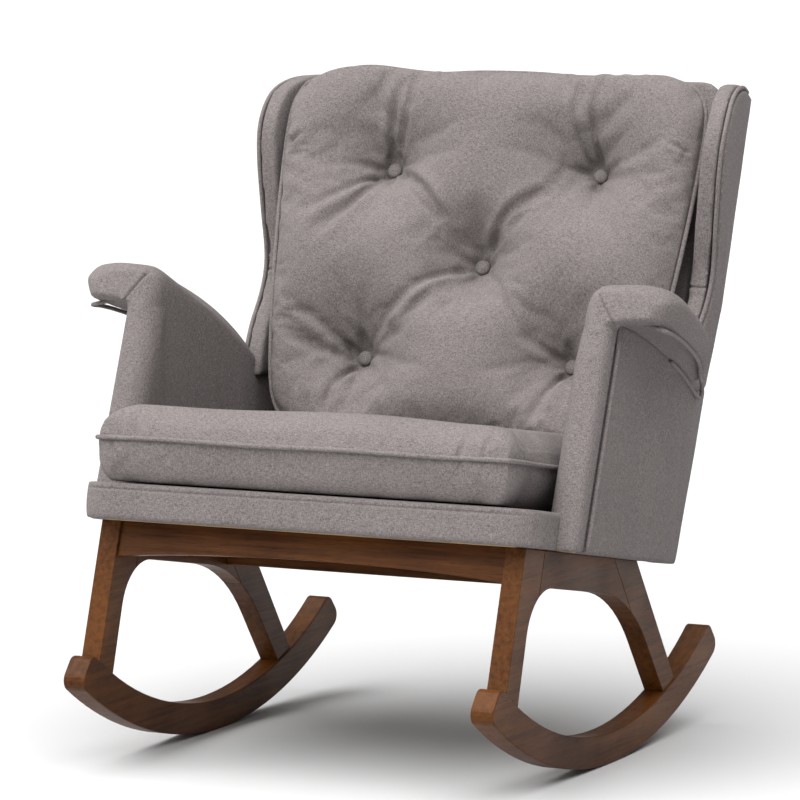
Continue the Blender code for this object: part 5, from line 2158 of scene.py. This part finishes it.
    def face(self, a: Array, b: Array) -> Spots:
        """The face: domed, drawn in by the buttons, and swelling over the top welt.

        Args:
            a: Grid places across, -1 to 1.
            b: Grid places up, -1 to 1.

        Returns:
            Places x, t and the height off the middle plane.
        """
        pa, side = self.wall(a, self.high_half, 0.055, 0.026, 2.1)
        pb, ends = self.wall(b, self.length / 2, 0.055, 0.026, 2.1)
        x, t = self.plan(pa, pb)
        dome = (1 - np.abs(pa) ** 2.6) * (1 - np.abs(pb) ** 2.6)
        puff = side * ends * (0.026 + (self.front - 0.030) * dome)
        drawn = (puff + self.sink) * self.tuft(x, t) * np.minimum(side, ends)
        over = self.overhang * np.sin(math.pi * np.clip((self.length - t) / 0.06, 0, 1))
        over = over * (1 - np.abs(pa) ** 6)
        return x, t + over * side, 0.0004 + puff - drawn

    def reverse(self, a: Array, b: Array) -> Spots:
        """The plain back of the cushion.

        Args:
            a: Grid places across, -1 to 1.
            b: Grid places up, -1 to 1.

        Returns:
            Places x, t and the height off the middle plane.
        """
        pa, side = self.wall(a, self.high_half, 0.060, 0.040, 2.0)
        pb, ends = self.wall(b, self.length / 2, 0.060, 0.040, 2.0)
        return *self.plan(pa, pb), -0.0004 - (self.rear - 0.010) * side * ends

    def folds(self, x: Array, t: Array) -> Array:
        """Depth of the folds at each place of the face.

        Args:
            x: Places across.
            t: Places up the cushion.

        Returns:
            How far each place stands out.
        """
        spots = np.stack([x, t], axis=1)
        shift = np.zeros(len(x))
        for crease in self.creases:
            line = smooth_path(crease.line, 5)
            away, share, side = along_line(spots, line)
            ends = np.clip(share / 0.08, 0.35, 1) * np.clip((1 - share) / 0.25, 0, 1) ** 0.7
            strength = (crease.fade + (1 - crease.fade) * (1 - share) ** 1.2) * ends
            width = crease.width * (0.55 + 0.5 * share)
            signed = away * side
            valley = -np.exp(-((signed / width) ** 2))
            roll = np.exp(-(((signed - 0.009) / 0.010) ** 2)) * np.clip(share * 4, 0, 1)
            shift += 1.25 * crease.depth * strength * (0.85 * valley + crease.roll * roll)
        for number, (_, bx, bt) in enumerate(self.buttons):
            away, angle = np.hypot(x - bx, t - bt), np.arctan2(t - bt, x - bx)
            star = np.cos(7 * angle + number) + 0.6 * np.cos(4 * angle + 2 * number)
            shift += 0.0014 * star * np.exp(-(((away - 0.022) / 0.013) ** 2))
        return shift

    def twisted(self, points: Array) -> Array:
        """The cushion as it was set down: turned a little about its upright middle line.

        Args:
            points: Points of the cushion.

        Returns:
            The turned points.
        """
        middle = np.array(DATUMS.cushion(0, self.length / 2, 0))
        turn = np.array(Matrix.Rotation(self.twist, 3, "Z"))
        return (points - middle) @ turn.T + middle

    def build_button(self, name: str, x: float, t: float) -> None:
        """One covered button: a low dome with a rolled rim, drawn into the face.

        Args:
            name: Which button.
            x: Its place across.
            t: Its place up the cushion.
        """
        bpy.ops.object.select_all(action="DESELECT")
        bpy.ops.mesh.primitive_uv_sphere_add(segments=28, ring_count=16, radius=self.button)
        obj = bpy.context.active_object
        obj.name = f"covered_button_{name}"
        bpy.ops.object.mode_set(mode="EDIT")
        bpy.ops.mesh.select_all(action="SELECT")
        bpy.ops.transform.resize(value=(1.0, 1.0, 0.52))
        bpy.ops.mesh.bisect(plane_co=(0, 0, -0.0030), plane_no=(0, 0, 1), clear_inner=True, use_fill=True)
        bpy.ops.object.mode_set(mode="OBJECT")
        ahead = Vector(DATUMS.cushion(0, 0, 1)) - Vector(DATUMS.cushion(0, 0, 0))
        quarter = Vector((0, 0, 1)).rotation_difference(ahead).to_matrix().to_4x4()
        at = Vector(DATUMS.cushion(x, t, 0.0052 - self.sink))
        obj.data.transform(Matrix.Translation(at) @ quarter)
        reshape(obj, self.twisted(coordinates(obj)))
        for layer in list(obj.data.uv_layers):
            obj.data.uv_layers.remove(layer)
        self.maker.hang(obj, Body.BACK_CUSHION, (f"button_{name}",), fill=0.9)


# --- studio


@dataclass
class Studio:
    """A plain pale floor, soft light and the camera.

    Attributes:
        eye: The camera's place.
        turn: Its turn about Z from looking along +Y, and its look downwards.
        lens: Its focal length in millimetres.
    """

    eye: Triple = (2.89861, -6.05439, 1.23813)
    turn: Pair = (0.44947575, 0.11461572)
    lens: float = 225.0

    def build(self) -> None:
        """Sets up the camera, the lights and the floor."""
        scene = bpy.context.scene
        scene.view_settings.view_transform = "Standard"
        camera_data = bpy.data.cameras.new("camera")
        camera_data.lens = self.lens
        camera_data.sensor_width = 36.0
        camera_data.clip_end = 500.0
        camera = bpy.data.objects.new("camera", camera_data)
        scene.collection.objects.link(camera)
        camera.location = self.eye
        camera.rotation_euler = (math.pi / 2 - self.turn[1], 0.0, self.turn[0])
        scene.camera = camera
        self.light("key", (-0.66, -0.60, 0.88), 1.6, 95)
        self.light("overhead", (0.0, -0.33, 1.0), 5.1, 85)
        self.world(0.20)
        self.floor()

    def light(self, name: str, towards: Triple, strength: float, spread: float) -> None:
        """A broad soft light from far off.

        Args:
            name: The light's name.
            towards: Direction in which it stands.
            strength: Its strength.
            spread: How wide it looks, in degrees.
        """
        data = bpy.data.lights.new(name, "SUN")
        data.energy = strength
        data.angle = math.radians(spread)
        obj = bpy.data.objects.new(name, data)
        bpy.context.scene.collection.objects.link(obj)
        obj.rotation_euler = Vector(towards).to_track_quat("Z", "Y").to_euler()

    def world(self, strength: float) -> None:
        """A plain white surround.

        Args:
            strength: How bright it is.
        """
        world = bpy.data.worlds.new("surround")
        world.use_nodes = True
        shade = world.node_tree.nodes["Background"]
        shade.inputs[0].default_value = (1.0, 1.0, 1.0, 1.0)
        shade.inputs[1].default_value = strength
        bpy.context.scene.world = world

    def floor(self) -> None:
        """A wide pale floor."""
        bpy.ops.object.select_all(action="DESELECT")
        bpy.ops.mesh.primitive_plane_add(size=220.0, location=(0, 0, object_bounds()[0][2] - 0.0004))
        floor = bpy.context.active_object
        floor.name = "floor"
        material = bpy.data.materials.new("pale_floor")
        material.use_nodes = True
        bench = NodeBench(material.node_tree)
        shader = material.node_tree.nodes["Principled BSDF"]
        cloud = bench.noise(bench.add("TexCoord").outputs["Object"], 1.2, 2.0, 0.5)
        pale = bench.blend(cloud, (0.55, 0.55, 0.55, 1.0), (0.58, 0.58, 0.58, 1.0))
        bench.feed(shader.inputs["Base Color"], pale)
        shader.inputs["Roughness"].default_value = 0.9
        shader.inputs["Specular IOR Level"].default_value = 0.1
        floor.data.materials.append(material)
        floor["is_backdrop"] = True


def main() -> None:
    """Builds the chair's looks over its frame, in order."""
    logging.basicConfig(level=logging.INFO, format="%(name)s: %(message)s")
    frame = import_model()
    finishes = Finishes()
    maker = Upholsterer(finishes)
    TimberBase(finishes).dress(frame["nodes"])
    SeatPlatform(maker).build()
    for side in Side:
        Arm(maker, side).build()
    BackShell(maker).build()
    for side in Side:
        Wing(maker, side).build()
    SeatCushion(maker).build()
    BackCushion(maker).build()
    Studio().build()
    log.info("%d covered pieces", len(maker.made))


if __name__ == "__main__":
    main()
